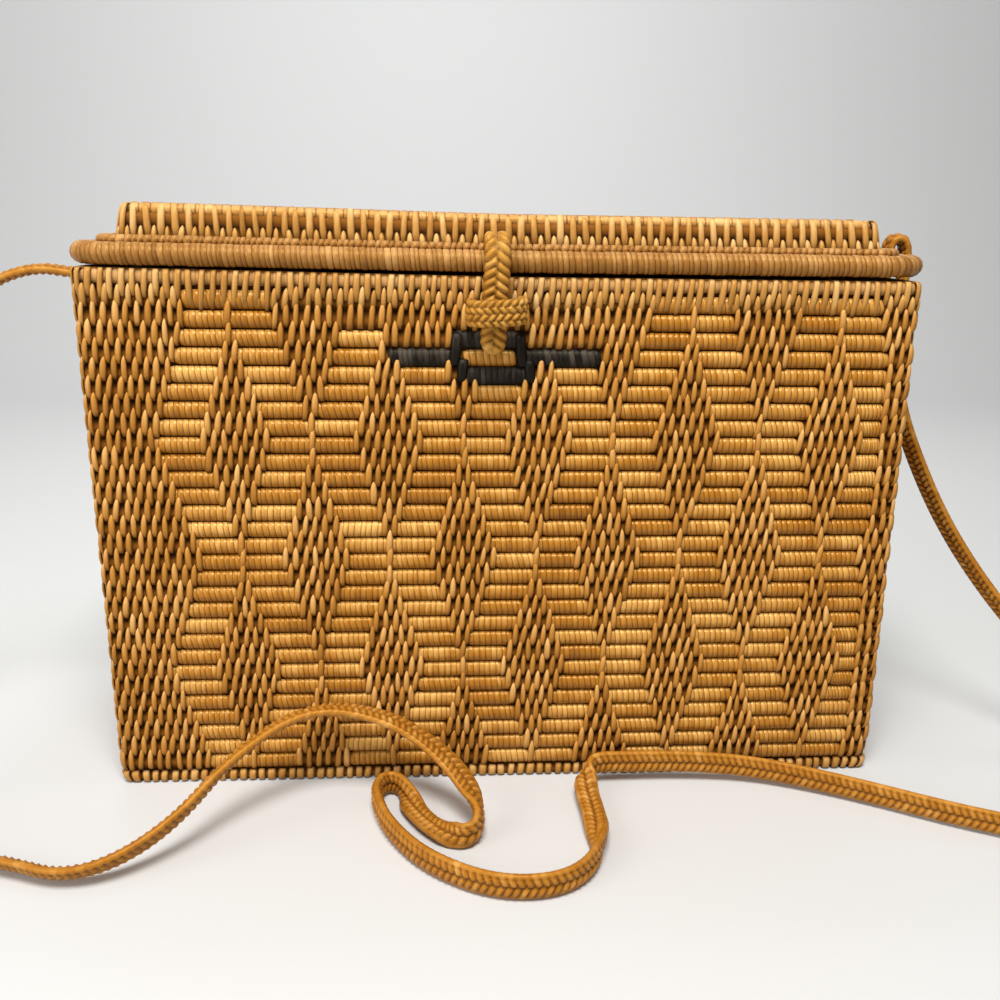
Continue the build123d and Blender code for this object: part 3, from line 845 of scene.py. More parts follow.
@dataclass
class WovenBox:
    """The box: coils bound with strips, and the zigzag figure on its front and back."""

    row_count: int = 31
    top_rows: int = 2
    stitch_pitch: float = 3.36
    step_stitches: int = 7
    lattice_offset: float = -1.8
    left_border: float = 27.0
    right_border: float = 9.0
    float_length: float = 12.8
    float_height: float = 5.5
    float_depth: float = 2.4
    float_hidden: float = 2.0
    wraps: int = 8
    row_sag: float = 1.3
    sag_share: float = 0.55
    wall: float = 6.0
    base: float = 5.0
    corner: float = 3.2
    strip_width: float = 2.02
    strip_thickness: float = 0.62
    strip_gap: float = 3.2
    strip_sunk: float = 0.75
    strip_rise: float = 0.85
    stitch_rows: float = 1.5
    stitch_raise: float = 0.25
    plain_stitches: int = 4
    border_stitches: int = 24
    border_start: float = 0.4
    edge_pitch: float = 3.25
    edge_rows: tuple[float, float] = (1.52, 1.95)
    under_rows: float = 1.15
    foot_rows: float = 0.68
    foot_widen: float = 1.25
    edge_margin: float = 0.3
    closure_reach: float = 40.0
    mouth_lift: float = 1.5
    mouth_depth: float = 12.0
    mouth_blend: float = 10.0
    left_lean: tuple[float, float] = (1.3, 0.8)
    foot_round: float = 2.0
    foot_height: float = 4.5
    end_reach: float = 12.0
    side_dip: float = 0.6
    rod_inset: float = 2.6
    back_wraps: int = 7

    def __post_init__(self) -> None:
        """Sizes of the whole box, read from its CAD node."""
        _, high = node_box("basket_body")
        self.half_x, self.half_y, self.height = high
        self.row_pitch = self.height / self.row_count
        self.plan = Plan(self.half_x, self.half_y, self.corner)
        self.lattice_step = self.stitch_pitch * self.step_stitches
        self.cycle = 2 * self.step_stitches
        self.columns = np.arange(
            np.ceil((-self.half_x + self.left_border - self.lattice_offset) / self.lattice_step),
            np.floor((self.half_x - self.right_border - self.lattice_offset) / self.lattice_step) + 1,
        )
        self.figure_rows = np.arange(self.top_rows, self.row_count - 1)

    def row_middle(self, row: np.ndarray | float) -> np.ndarray | float:
        """Height of a row's middle, counted from the top: the rows sag a little below the mouth."""
        share = (row + 0.5) / self.row_count
        sag = np.sin(np.pi / 2 * np.minimum(1, share / self.sag_share))
        return self.height * (1 - share) - self.row_sag * sag

    def float_ends(self) -> tuple[np.ndarray, np.ndarray]:
        """X of each float's left and right end, by figure row and column: the columns sway in turn.

        Returns:
            Two arrays with one row of numbers for each figure row.
        """
        phase = (self.figure_rows - self.top_rows) % self.cycle
        sway = (self.step_stitches / 2 - np.minimum(phase, self.cycle - phase)) * self.stitch_pitch / 2
        side = np.where(self.columns % 2 == 0, 1, -1)
        middle = self.lattice_offset + self.columns * self.lattice_step + side * sway[:, None]
        half = self.float_length / 2
        return middle - half, np.minimum(middle + half, self.half_x - self.right_border)

    def worn(self, surface: Surface) -> Surface:
        """The surface as the worn box stands: left end leaning, left front high, foot corners rounded.

        Args:
            surface: one of the box's surfaces, which is changed.
        Returns:
            The same surface.
        """
        x, y, z = surface.points.T.copy()
        left = np.clip(-x / self.half_x, 0, 1)
        share = np.clip((z - self.height + self.mouth_depth) / self.mouth_blend, 0, 1) * front_share(y)
        end = np.sign(x) * np.clip((np.abs(x) - self.half_x + self.end_reach) / self.end_reach, 0, 1)
        foot_lean, mouth_lean = self.left_lean
        lean = foot_lean * (1 - z / self.height) - mouth_lean * z / self.height
        surface.points[:, 0] += left * lean
        surface.points[:, 0] -= end * self.foot_round * np.clip(1 - z / self.foot_height, 0, 1) ** 2
        surface.points[:, 2] += self.mouth_lift * share * left
        return surface

    def plain_floats(self, back: bool) -> np.ndarray:
        """Which floats are left out, with stitches in their place: the first two rows round the closure.

        Args:
            back: whether the figure is the back's, which has no closure.
        Returns:
            True for each float that is left out, by figure row and column.
        """
        starts, ends = self.float_ends()
        near = np.abs((starts + ends) / 2 - CLOSURE_X) < self.closure_reach
        return near & (self.figure_rows < self.top_rows + 2)[:, None] & (not back)

    def figure_stitches(self, back: bool) -> tuple[np.ndarray, np.ndarray]:
        """X and row of every stitch beside the floats: in the diamonds and in both borders.

        Args:
            back: whether the figure is the back's.
        Returns:
            Two arrays, one number for each stitch.
        """
        starts, ends = self.float_ends()
        gap = np.maximum(starts[:, 1:] - ends[:, :-1], 0)
        gap_middle = (ends[:, :-1] + starts[:, 1:]) / 2
        wanted = np.maximum(1, np.round(gap / self.strip_gap))
        spacing = np.clip(gap / wanted, self.strip_width, self.stitch_pitch)
        step = np.arange(self.step_stitches + 1)
        x = gap_middle[..., None] + (step - (wanted[..., None] - 1) / 2) * spacing[..., None]
        plain = self.plain_floats(back)
        crowded = (gap < self.strip_gap / 2) & (plain[:, 1:] | plain[:, :-1])
        kept = (step < wanted[..., None]) & ~crowded[..., None]
        row_grid = np.broadcast_to(self.figure_rows[:, None, None].astype(float), x.shape)
        places, rows = [x[kept]], [row_grid[kept]]
        filling = (np.arange(self.plain_stitches) + 0.5) / self.plain_stitches
        x = starts[..., None] + (ends - starts)[..., None] * filling
        places.append(x[plain].ravel())
        rows.append(np.repeat(np.nonzero(plain)[0] + float(self.top_rows), len(filling)))
        steps = np.arange(self.border_stitches) + self.border_start
        edge = self.half_x - self.strip_width * 0.3
        for x in (starts[:, :1] - steps * self.strip_gap, ends[:, -1:] + steps * self.strip_gap):
            kept = np.abs(x) < edge
            places.append(x[kept])
            rows.append(np.broadcast_to(self.figure_rows[:, None].astype(float), x.shape)[kept])
        return np.concatenate(places), np.concatenate(rows)

    def strips(self, way: np.ndarray, row: np.ndarray, rows_long: float, raised: float, seed: int) -> Strips:
        """Upright strips at places round the box.

        Args:
            way: distance of each strip round the plan.
            row: row of each strip, counted from the top, as a number with a fraction.
            rows_long: length of a strip in rows.
            raised: how far a strip's middle lies above its row's, in rows.
            seed: number that the unevenness is drawn from.
        Returns:
            The strips.
        """
        draw = np.random.default_rng(seed)
        count = len(way)
        spots, normals = self.plan.at(way + draw.normal(0, BOX_STRIPS.place, count))
        spots = spots - normals * self.strip_sunk
        spots[:, 2] = self.row_middle(row) + raised * self.row_pitch
        spots[:, 2] += draw.normal(0, BOX_STRIPS.height, count)
        size = (rows_long * self.row_pitch, self.strip_width, self.strip_rise, self.strip_thickness)
        return Strips.drawn(spots, AXIS_Z, normals, size, BOX_STRIPS, draw)

    def put(self, dresser: Dresser, name: str, surface: Surface, finish: CaneFinish) -> None:
        """Write one of the box's surfaces as the worn box stands."""
        dresser.piece(name, self.worn(surface), finish, "box", ("basket_body",))

    def back_way(self, x: np.ndarray) -> np.ndarray:
        """Distance round the plan of a place on the back, seen from behind."""
        return self.plan.length() / 2 + x

    @staticmethod
    def motif_clear(
        x: np.ndarray, row: np.ndarray, reaches: dict[int, tuple[float, float]], spare: float = 0.0
    ) -> np.ndarray:
        """Whether each place is clear of the dark figure's rows.

        Args:
            x: places on the front.
            row: their rows.
            reaches: left and right end of the dark figure, by row.
            spare: room that is left beside it.
        Returns:
            True where nothing dark lies.
        """
        clear = np.ones(len(x), dtype=bool)
        place = x - CLOSURE_X
        for figure_row, (left, right) in reaches.items():
            clear &= ~((row == figure_row) & (place > left - spare) & (place < right + spare))
        return clear

    def bars(
        self, x: np.ndarray, row: np.ndarray, length: np.ndarray, back: bool, wraps: int, seed: int,
        thicker: float = 1.0, worn: float = 0.035,
    ) -> Surface:
        """Wrapped bars along the front or the back.

        Args:
            x: the bars' middles, seen from outside.
            row: their rows.
            length: their lengths.
            back: whether they are on the back.
            wraps: turns of strip on each.
            seed: number that the unevenness is drawn from.
            thicker: height of the bars over the floats'.
            worn: how far the tones of single turns differ.
        Returns:
            The surface of the bars.
        """
        spots, normals = self.plan.at(self.back_way(x) if back else x)
        spots = spots - normals * self.float_depth
        spots[:, 2] = self.row_middle(row)
        along = np.cross(AXIS_Z, normals)
        rods = WrappedBars(wraps, thicker * self.float_height / 2, self.float_depth, worn=worn)
        return rods.surface(spots, along, normals, length, seed)

    def core(self) -> Surface:
        """The wall behind the strips: coils outside and inside, as one closed profile round the box.

        Returns:
            The wall's surface.
        """
        rows = np.arange(self.row_count)[::-1]
        coils = self.row_middle(rows)[:, None] - np.array(COIL_STEPS) * self.row_pitch
        heights = np.maximum(0.3, coils.ravel())
        # Painted shade on the outer coils, darkest at the row boundaries; the inner wall gets six tenths of
        # it.
        outer_depths = np.tile(COIL_PAINTED_SHADE, self.row_count)
        lip = self.height - 0.4
        out_plans = [
            Plan(self.half_x - self.side_dip * dip, self.half_y - dip, max(0.5, 0.6 * (self.corner - dip)))
            for dip in np.tile(COIL_DIPS, self.row_count)
        ]
        in_plans = [
            Plan(self.half_x - self.wall - dip, self.half_y - self.wall - dip, 1.0)
            for dip in np.tile(COIL_DIPS_INSIDE, self.row_count)
        ]
        plans = out_plans + [out_plans[-2], in_plans[-2]] + in_plans[::-1]
        levels = np.concatenate((heights, (lip, lip), heights[::-1]))
        depths = np.concatenate((outer_depths, (0.3, 0.3), outer_depths[::-1] * 0.6))
        return carried_ring(plans, levels, depths, 0.5)

    def dress(self, dresser: Dresser, reaches: dict[int, tuple[float, float]]) -> None:
        """Make the wall, the base, the strips and the floats.

        Args:
            dresser: what writes the pieces.
            reaches: left and right end of the dark figure, by row.
        """
        inset = self.rod_inset
        low = np.array((-self.half_x + inset, -self.half_y + inset, 0.2))
        high = np.array((self.half_x - inset, self.half_y - inset, self.base))
        base = slab(low, high, self.row_pitch, ridge=0.8, tone=0.5)
        self.put(dresser, "wall_core", self.core(), CORE_CANE)
        self.put(dresser, "base_coils", base, RIM_CANE)
        rod_plan = Plan(self.half_x - inset, self.half_y - inset, max(1.0, self.corner - inset))
        rod = wound_loop(rod_plan, self.height - inset, radius=2.3, wrap=3.0, groove=0.05, slant=0.0, seed=3)
        self.put(dresser, "mouth_rod", rod, BARE_ROD)
        x, row = self.figure_stitches(back=False)
        clear = self.motif_clear(x, row, reaches)
        front = self.strips(x[clear], row[clear], self.stitch_rows, self.stitch_raise, seed=11)
        self.put(dresser, "front_stitches", front.surface(STITCH), STITCH_CANE)
        x, row = self.figure_stitches(back=True)
        back = self.strips(self.back_way(x), row, self.stitch_rows, self.stitch_raise, seed=12)
        self.put(dresser, "back_stitches", back.surface(STITCH), STITCH_CANE)
        starts, ends = self.float_ends()
        bar_x = ((starts + ends) / 2).ravel()
        lengths = (ends - starts).ravel() + self.float_hidden
        bar_row = np.repeat(self.figure_rows.astype(float), starts.shape[1])
        kept = self.motif_clear(bar_x, bar_row, reaches, self.float_length / 2 - 1.0)
        kept &= ~self.plain_floats(back=False).ravel()
        first = kept & (bar_row == self.top_rows)
        front_x = np.concatenate((bar_x[kept], bar_x[first]))
        front_row = np.concatenate((bar_row[kept], bar_row[first] - 1))
        front_length = np.concatenate((lengths[kept], lengths[first]))
        floats = self.bars(front_x, front_row, front_length, back=False, wraps=self.wraps, seed=21)
        self.put(dresser, "front_floats", floats, FLOAT_CANE)
        floats = self.bars(bar_x, bar_row, lengths, back=True, wraps=self.back_wraps, seed=22)
        self.put(dresser, "back_floats", floats, FLOAT_CANE)
        self.dress_sides(dresser)
        self.dress_edges(dresser)

    def dress_sides(self, dresser: Dresser) -> None:
        """Make the plain stitches of both side walls, each row half a pitch on from the last.

        Args:
            dresser: what writes the pieces.
        """
        rows = self.figure_rows.astype(float)
        half = int(self.half_y / self.stitch_pitch)
        step = (np.arange(-half, half + 1) * self.stitch_pitch)[None]
        step = step + (rows % 2 * self.stitch_pitch / 2)[:, None]
        quarter = self.plan.length() / 4
        way = np.concatenate(((quarter + step).ravel(), (3 * quarter + step).ravel()))
        row = np.tile(np.repeat(rows, step.shape[1]), 2)
        sides = self.strips(way, row, self.stitch_rows, self.stitch_raise, seed=13)
        self.put(dresser, "side_stitches", sides.surface(STITCH), STITCH_CANE)

    def dress_edges(self, dresser: Dresser) -> None:
        """Make the long stitches over the mouth, the row under them and the short ones at the foot.

        Args:
            dresser: what writes the pieces.
        """
        length = self.plan.length()
        count = int(length / self.edge_pitch)
        way = np.arange(count) * length / count
        over = self.strips(way, np.zeros(count), rows_long=1.0, raised=0.0, seed=14)
        plain_rows, float_rows = self.edge_rows
        over.length = over.length * np.where(self.over_floats(way), float_rows, plain_rows)
        over.at[:, 2] = self.height - self.edge_margin - over.length / 2
        under_way = way + self.edge_pitch / 2
        under_way = under_way[~self.over_floats(under_way)]
        under = self.strips(under_way, np.ones(len(under_way)), self.under_rows, raised=0.12, seed=15)
        foot = self.strips(way, np.full(count, self.row_count - 1.0), self.foot_rows, raised=0.0, seed=16)
        foot.at[:, 2] = foot.length / 2 + self.edge_margin
        foot.width = foot.width * self.foot_widen
        parts = [over.surface(OVER_EDGE), under.surface(STITCH), foot.surface(BLUNT)]
        self.put(dresser, "edge_stitches", Surface.joined(parts), EDGE_CANE)

    def over_floats(self, way: np.ndarray, spare: float = 0.6) -> np.ndarray:
        """Whether each place round the box is above one of the front's topmost floats."""
        length = self.plan.length()
        x = np.where(way < length / 2, way, way - length)[:, None]
        starts, ends = self.float_ends()
        kept = ~self.plain_floats(back=False)[0]
        return np.any((x > starts[0, kept] - spare) & (x < ends[0, kept] + spare), axis=1)


@dataclass
class DarkFigure:
    """The dyed bars and stitches in the top of the front's figure."""

    box: WovenBox
    bars: tuple[tuple[float, float, int], ...] = (
        (-13.3, 8.8, 0), (-32.6, -11.5, 1), (7.6, 33.0, 1), (-11.5, 12.0, 2)
    )
    uprights: tuple[tuple[float, float, float], ...] = (
        (-12.4, 0.5, 1.95), (7.8, 0.5, 1.95), (-10.1, 1.75, 1.4), (10.6, 1.75, 1.4)
    )
    heart: tuple[float, float] = (-9.8, 6.4)
    upright_width: float = 3.3
    thicker: float = 1.08
    worn: float = 0.13
    wraps: int = 13
    bar_lift: float = 0.2
    upright_lift: float = 0.25
    upright_lean: float = 0.08

    @property
    def first(self) -> int:
        """The figure's topmost row."""
        return self.box.top_rows + 1

    def reaches(self) -> dict[int, tuple[float, float]]:
        """Left and right end of the dark figure in each of its rows."""
        rows = {row for _, _, row in self.bars}
        ends = {row: [end for bar in self.bars if bar[2] == row for end in bar[:2]] for row in rows}
        return {self.first + row: (min(reach), max(reach)) for row, reach in ends.items()}

    def dress(self, dresser: Dresser) -> None:
        """Make the dark bars, the dark stitches and the plain bar between them.

        Args:
            dresser: what writes the pieces.
        """
        left, right, row = np.array(self.bars).T
        bars = self.box.bars(
            CLOSURE_X + (left + right) / 2, self.first + row, right - left, back=False, wraps=self.wraps,
            seed=31, thicker=self.thicker, worn=self.worn,
        )
        bars.points[:, 1] -= self.bar_lift
        x, row, rows_long = np.array(self.uprights).T
        strips = self.box.strips(CLOSURE_X + x, self.first + row, rows_long=1.0, raised=0.0, seed=32)
        strips.length = rows_long * self.box.row_pitch
        strips.width = np.full(len(x), self.upright_width)
        strips.lean = np.sign(x) * self.upright_lean
        strips.at[:, 1] -= self.upright_lift
        parts = [bars, strips.surface(BLUNT)]
        dresser.piece("dark_figure", Surface.joined(parts), DYED_CANE, "box", ("dark_motif",))
        start, end = self.heart
        place, size = np.array((CLOSURE_X + (start + end) / 2,)), np.array((end - start,))
        row = np.array((self.first + 1.0,))
        plain = self.box.bars(place, row, size, back=False, wraps=self.box.wraps, seed=33)
        dresser.piece("figure_heart", plain, FLOAT_CANE, "box", ("basket_body",))


@dataclass
class Lid:
    """The lid: a wound rim rod, a raised block of two rows and coils along its top."""

    rim_corner: float = 12.0
    rim_wrap: float = 1.7
    block_inset: float = 8.6
    rim_overhang: float = 2.0
    side_overhang: float = 4.0
    rim_reach: float = 1.1
    foot_rise: float = 2.0
    top_margin: float = 0.9
    block_corner: float = 4.0
    block_lean: float = 3.0
    wall: float = 4.5
    row_pitch: float = 5.4
    stitch_pitch: float = 4.0
    left_lift: float = 0.9
    top_slope: float = 2.0
    top_sag: float = 1.2
    strip_sunk: float = 0.9
    strip_rise: float = 0.85
    strip_thickness: float = 0.62
    top_strip_width: float = 2.25
    top_strip_rows: float = 1.6
    top_strip_rise: float = 0.8

    def __post_init__(self) -> None:
        """Sizes of the rim and the block, read from their CAD nodes."""
        rim_low, rim_high = node_box("lid_rim")
        self.rim_radius = (rim_high[2] - rim_low[2]) / 2
        self.rim_height = (rim_high[2] + rim_low[2]) / 2
        rim_x, rim_y = rim_high[0] - self.rim_radius + self.rim_reach, rim_high[1] - self.rim_radius
        self.rim_plan = Plan(rim_x, rim_y, self.rim_corner)
        self.block_x = rim_high[0] - self.side_overhang - self.block_inset
        self.block_y = rim_high[1] - self.rim_overhang - self.block_inset
        self.foot = self.rim_height + self.foot_rise
        self.top = node_box("lid_panel")[1][2] - self.top_margin

    def block_plan(self, lean: float, inset: float = 0.0) -> Plan:
        """Plan of the block where it leans in by so much, drawn in further by an inset."""
        drawn = lean + inset
        return Plan(self.block_x - drawn, self.block_y - drawn, max(0.6, self.block_corner - inset))

    def shell(self) -> Surface:
        """The block's side wall and the flange out to the rim, as one closed profile.

        Returns:
            The wall's surface.
        """
        lean = self.block_lean
        flange = Plan(self.rim_plan.half_x - 1.0, self.rim_plan.half_y - 1.0, self.rim_corner - 1.0)
        hollow = self.block_plan(0.0, self.wall)
        waist = (self.foot + self.top) / 2
        plans = [
            flange, flange, self.block_plan(0.2, 1.4), self.block_plan(0.4, 1.0), self.block_plan(0.9, 1.8),
            self.block_plan(1.2, 1.0), self.block_plan(lean, 1.6), self.block_plan(lean, 4.0), hollow, hollow,
        ]
        low = self.rim_height - 1.6
        heights = np.array((
            low, self.foot - 0.6, self.foot - 0.6, self.foot + 3.0, waist, waist + 3.0, self.top - 0.8,
            self.top - 0.9, self.top - self.wall, low,
        ))
        # Painted shade on the lid's wall, darkest at its waist.
        depths = np.array((0.7, 0.6, 0.8, 0.3, 1.0, 0.3, 0.5, 0.5, 0.6, 0.6))
        return carried_ring(plans, heights, depths, 0.5)

    def settled(self, surface: Surface) -> Surface:
        """The surface as the worn lid lies: a little high at its left front, with the top sunk.

        Args:
            surface: one of the lid's surfaces, which is changed.
        Returns:
            The same surface.
        """
        x, y, z = surface.points.T
        share = np.clip((z - self.foot) / (self.top - self.foot), 0, 1)
        left = np.clip(-x / self.block_x, 0, 1)
        surface.points[:, 2] += self.left_lift * left * front_share(y) * (1 - share)
        surface.points[:, 2] += share * (self.top_slope * left - self.top_sag)
        return surface

    def put(
        self, dresser: Dresser, name: str, surface: Surface, finish: CaneFinish, node: str = "lid_panel"
    ) -> None:
        """Write one of the lid's surfaces as the worn lid lies."""
        dresser.piece(name, self.settled(surface), finish, "lid", (node,))

    def side_strips(self, way: np.ndarray, foot: float, length: float, width: float, seed: int) -> Strips:
        """Strips up the block's leaning sides.

        Args:
            way: their places round the block.
            foot: height of their lower ends.
            length: their length.
            width: their width.
            seed: number that the unevenness is drawn from.
        Returns:
            The strips.
        """
        draw = np.random.default_rng(seed)
        count = len(way)
        spots, normals = self.block_plan(0.0).at(way + draw.normal(0, LID_SIDE_STRIPS.place, count))
        tilt = self.block_lean / (self.top - self.foot)
        along = unit(AXIS_Z - normals * tilt)
        rise = foot + length / 2 - self.foot
        spots = spots - normals * (self.strip_sunk + rise * tilt)
        spots[:, 2] = foot + length / 2 + draw.normal(0, LID_SIDE_STRIPS.height, count)
        size = (length, width, self.strip_rise, self.strip_thickness)
        return Strips.drawn(spots, along, unit(normals + AXIS_Z * tilt), size, LID_SIDE_STRIPS, draw)

    def top_strips(self) -> Strips:
        """Strips across the coils of the top, each row half a pitch on from the last.

        Returns:
            The strips, which run from front to back.
        """
        draw = np.random.default_rng(43)
        half_x = self.block_x - self.block_lean - 2.5
        half_y = self.block_y - self.block_lean - 2.2
        rows = int(2 * half_y / self.row_pitch)
        y = (np.arange(rows) - (rows - 1) / 2) * 2 * half_y / rows
        x = np.arange(-half_x, half_x, self.stitch_pitch)[None]
        x = x + (np.arange(rows) % 2 * self.stitch_pitch / 2)[:, None]
        count = x.size
        spots = np.stack((x.ravel(), np.repeat(y, x.shape[1]), np.full(count, self.top - 0.75)), axis=-1)
        spots[:, :2] += draw.normal(0, LID_TOP_STRIPS.place, (count, 2))
        length = self.top_strip_rows * self.row_pitch
        size = (length, self.top_strip_width, self.top_strip_rise, self.strip_thickness)
        return Strips.drawn(spots, AXIS_Y, AXIS_Z, size, LID_TOP_STRIPS, draw)

    def dress(self, dresser: Dresser) -> None:
        """Make the rim, the block's wall and top, and their strips.

        Args:
            dresser: what writes the pieces.
        """
        rim = wound_loop(
            self.rim_plan, self.rim_height + 0.1, 0.9 * self.rim_radius, self.rim_wrap, groove=0.34,
            slant=-0.35, seed=41,
        )
        self.put(dresser, "rim_windings", rim, RIM_CANE, "lid_rim")
        seam_plan = self.block_plan(0.0, -3.6)
        seam = wound_loop(seam_plan, self.foot + 1.9, radius=1.6, wrap=2.03, groove=0.75, slant=0.3, seed=42)
        self.put(dresser, "lid_seam", seam, RIM_CANE)
        self.put(dresser, "lid_core", self.shell(), CORE_CANE)
        rod_plan = self.block_plan(self.block_lean, 1.5)
        rod = wound_loop(rod_plan, self.top - 1.6, radius=1.9, wrap=3.0, groove=0.15, slant=0.0, seed=46)
        self.put(dresser, "lid_rod", rod, EDGE_CANE)
        drawn = self.block_lean + 2.4
        low = np.array((-self.block_x + drawn, -self.block_y + drawn, self.top - self.wall))
        high = np.array((self.block_x - drawn, self.block_y - drawn, self.top - 0.5))
        self.put(dresser, "lid_coils", slab(low, high, self.row_pitch, ridge=0.9, tone=0.5), CORE_CANE)
        length = self.block_plan(0.0).length()
        count = int(length / self.stitch_pitch)
        way = np.arange(count) * length / count
        tall = self.top - self.foot
        between = way + self.stitch_pitch / 2
        long = self.side_strips(way, self.foot + 0.14 * tall, 0.88 * tall, width=2.3, seed=44)
        short = self.side_strips(between, self.foot - 0.4, 0.52 * tall, width=1.9, seed=45)
        sides = Surface.joined([long.surface(OVER_EDGE), short.surface(STITCH)])
        self.put(dresser, "lid_side_stitches", sides, EDGE_CANE)
        self.put(dresser, "lid_top_stitches", self.top_strips().surface(STITCH), LID_CANE)


@dataclass
class Closure:
    """The braided tongue on the lid and the braided ring on the front."""

    tips: tuple[float, float] = (8.5, 4.6)
    root: float = -34.8
    root_drop: float = 2.9
    longer: float = 1.6
    tongue_inset: float = 2.3
    ring_inset: float = 1.35
    ring_corner: float = 5.5
    ring_tilt: float = 0.06
    ring_sunk: float = 1.0

    def tongue_line(self) -> np.ndarray:
        """Out of the block's front, over the rim in a quarter turn, and down.

        Returns:
            Evenly spaced points.
        """
        low, _ = node_box("closure_tongue")
        rim_low, rim_high = node_box("lid_rim")
        rim_radius = (rim_high[2] - rim_low[2]) / 2
        rim_y, rim_z = rim_low[1] + rim_radius, rim_high[2] - rim_radius
        front = low[1] + self.tongue_inset
        reach = rim_y - front
        turn = np.linspace(np.pi / 2, np.pi, 12)
        arc_y, arc_z = rim_y + reach * np.cos(turn), rim_z + reach * np.sin(turn)
        arc = np.stack((0 * turn + CLOSURE_X, arc_y, arc_z), axis=-1)
        start = np.array(((CLOSURE_X, self.root, rim_z + reach - self.root_drop),))
        drop = np.array((
            (CLOSURE_X - 0.6, front - 0.3, rim_z - 10.0),
            (CLOSURE_X - 1.1, front - 0.4, low[2] - self.longer),
        ))
        return evenly(np.concatenate((start, arc, drop)), step=0.35)

    def ring_line(self) -> np.ndarray:
        """Out of the wall, round the tongue's front and back into the wall.

        Returns:
            Evenly spaced points.
        """
        low, high = node_box("closure_ring")
        half = (high[0] - low[0]) / 2 - self.ring_inset
        front, back = low[1] + self.ring_inset, high[1] + self.ring_sunk
        level = (low[2] + high[2]) / 2
        turn = np.linspace(0, np.pi / 2, 9)
        bend_x = -half + self.ring_corner * (1 - np.cos(turn))
        left = np.stack((bend_x, front + self.ring_corner * (1 - np.sin(turn))), axis=-1)
        flat = np.concatenate((((-half, back),), left, left[::-1] * (-1, 1), ((half, back),)))
        points = np.column_stack((CLOSURE_X + flat[:, 0], flat[:, 1], level + self.ring_tilt * flat[:, 0]))
        return evenly(points, step=0.3)

    def dress(self, dresser: Dresser) -> None:
        """Make both braids.

        Args:
            dresser: what writes the pieces.
        """
        line = self.tongue_line()
        plait = Braid(width=8.2, thickness=4.2, pitch=2.7, columns=2, lump=1.5)
        tongue = plait.surface(line, np.broadcast_to(AXIS_X, line.shape), seed=51, tips=self.tips)
        dresser.piece("tongue_braid", tongue, CLOSURE_BRAID, "lid", ("closure_tongue",))
        line = self.ring_line()
        plait = Braid(width=8.2, thickness=2.5, pitch=2.2, columns=4, lump=1.3, ring=40, slant=0.7)
        ring = plait.surface(line, np.broadcast_to(AXIS_Z, line.shape), seed=52)
        dresser.piece("ring_braid", ring, CLOSURE_BRAID, "box", ("closure_ring",))


@dataclass
class HingeLashings:
    """The two lashings of cane strip that hold the rim's back run to the box."""

    turns: int = 4
    strip: float = 2.1
    inset: float = 0.8
    thickness: float = 0.75
    round_power: float = 0.55

    def loop(self, node: str, seed: int) -> Surface:
        """Turns of a strip round the rim and through the wall: flat rings, side by side.

        Args:
            node: the CAD node of the lashing.
            seed: number that the unevenness is drawn from.
        Returns:
            The surface of all the turns.
        """
        low, high = node_box(node)
        draw = np.random.default_rng(seed)
        half_y = (high[1] - low[1]) / 2 - self.inset
        half_z = (high[2] - low[2]) / 2 - self.inset
        middle = (low + high) / 2
        angle = np.linspace(0, 2 * np.pi, 40, endpoint=False)
        loop_y = half_y * bent(np.cos(angle), self.round_power)
        loop_z = half_z * bent(np.sin(angle), self.round_power)
        out = unit(np.stack((0 * angle, loop_y, loop_z), axis=-1))
        across = RING_ACROSS * self.strip / 2
        quads = tube_quads(len(angle), len(RING_ACROSS), looped=True)
        parts = []
        for turn in range(self.turns):
            x = middle[0] + (turn - (self.turns - 1) / 2) * self.strip * 1.02
            line = np.stack((x + 0.25 * np.sin(angle), middle[1] + loop_y, middle[2] + loop_z), axis=-1)
            points = line[:, None] + AXIS_X * across[:, None]
            points = points + out[:, None] * (RING_OUT * self.thickness)[:, None]
            # Painted shade on each turn's edges and underside.
            parts.append(Surface.marked(points, quads, draw.normal(0.5, 0.15), RING_PAINTED_SHADE))
        return Surface.joined(parts)

    def dress(self, dresser: Dresser) -> None:
        """Make both lashings.

        Args:
            dresser: what writes the pieces.
        """
        for seed, side in enumerate(("left", "right"), start=61):
            node = f"hinge_loop_{side}"
            dresser.piece(f"lashing_{side}", self.loop(node, seed), RIM_CANE, "box", (node,))


class Lie(Enum):
    """Which way the strap's width points at a place of its route; FLAT is level and across the route."""

    WALL = (0.0, 1.0, 0.0)
    FLAT = (0.0, 0.0, 0.0)
    EDGE = (0.0, 0.0, 1.0)
    TILTED = (0.0, -0.97, 0.24)
    LEANING = (0.0, -0.7, 0.7)


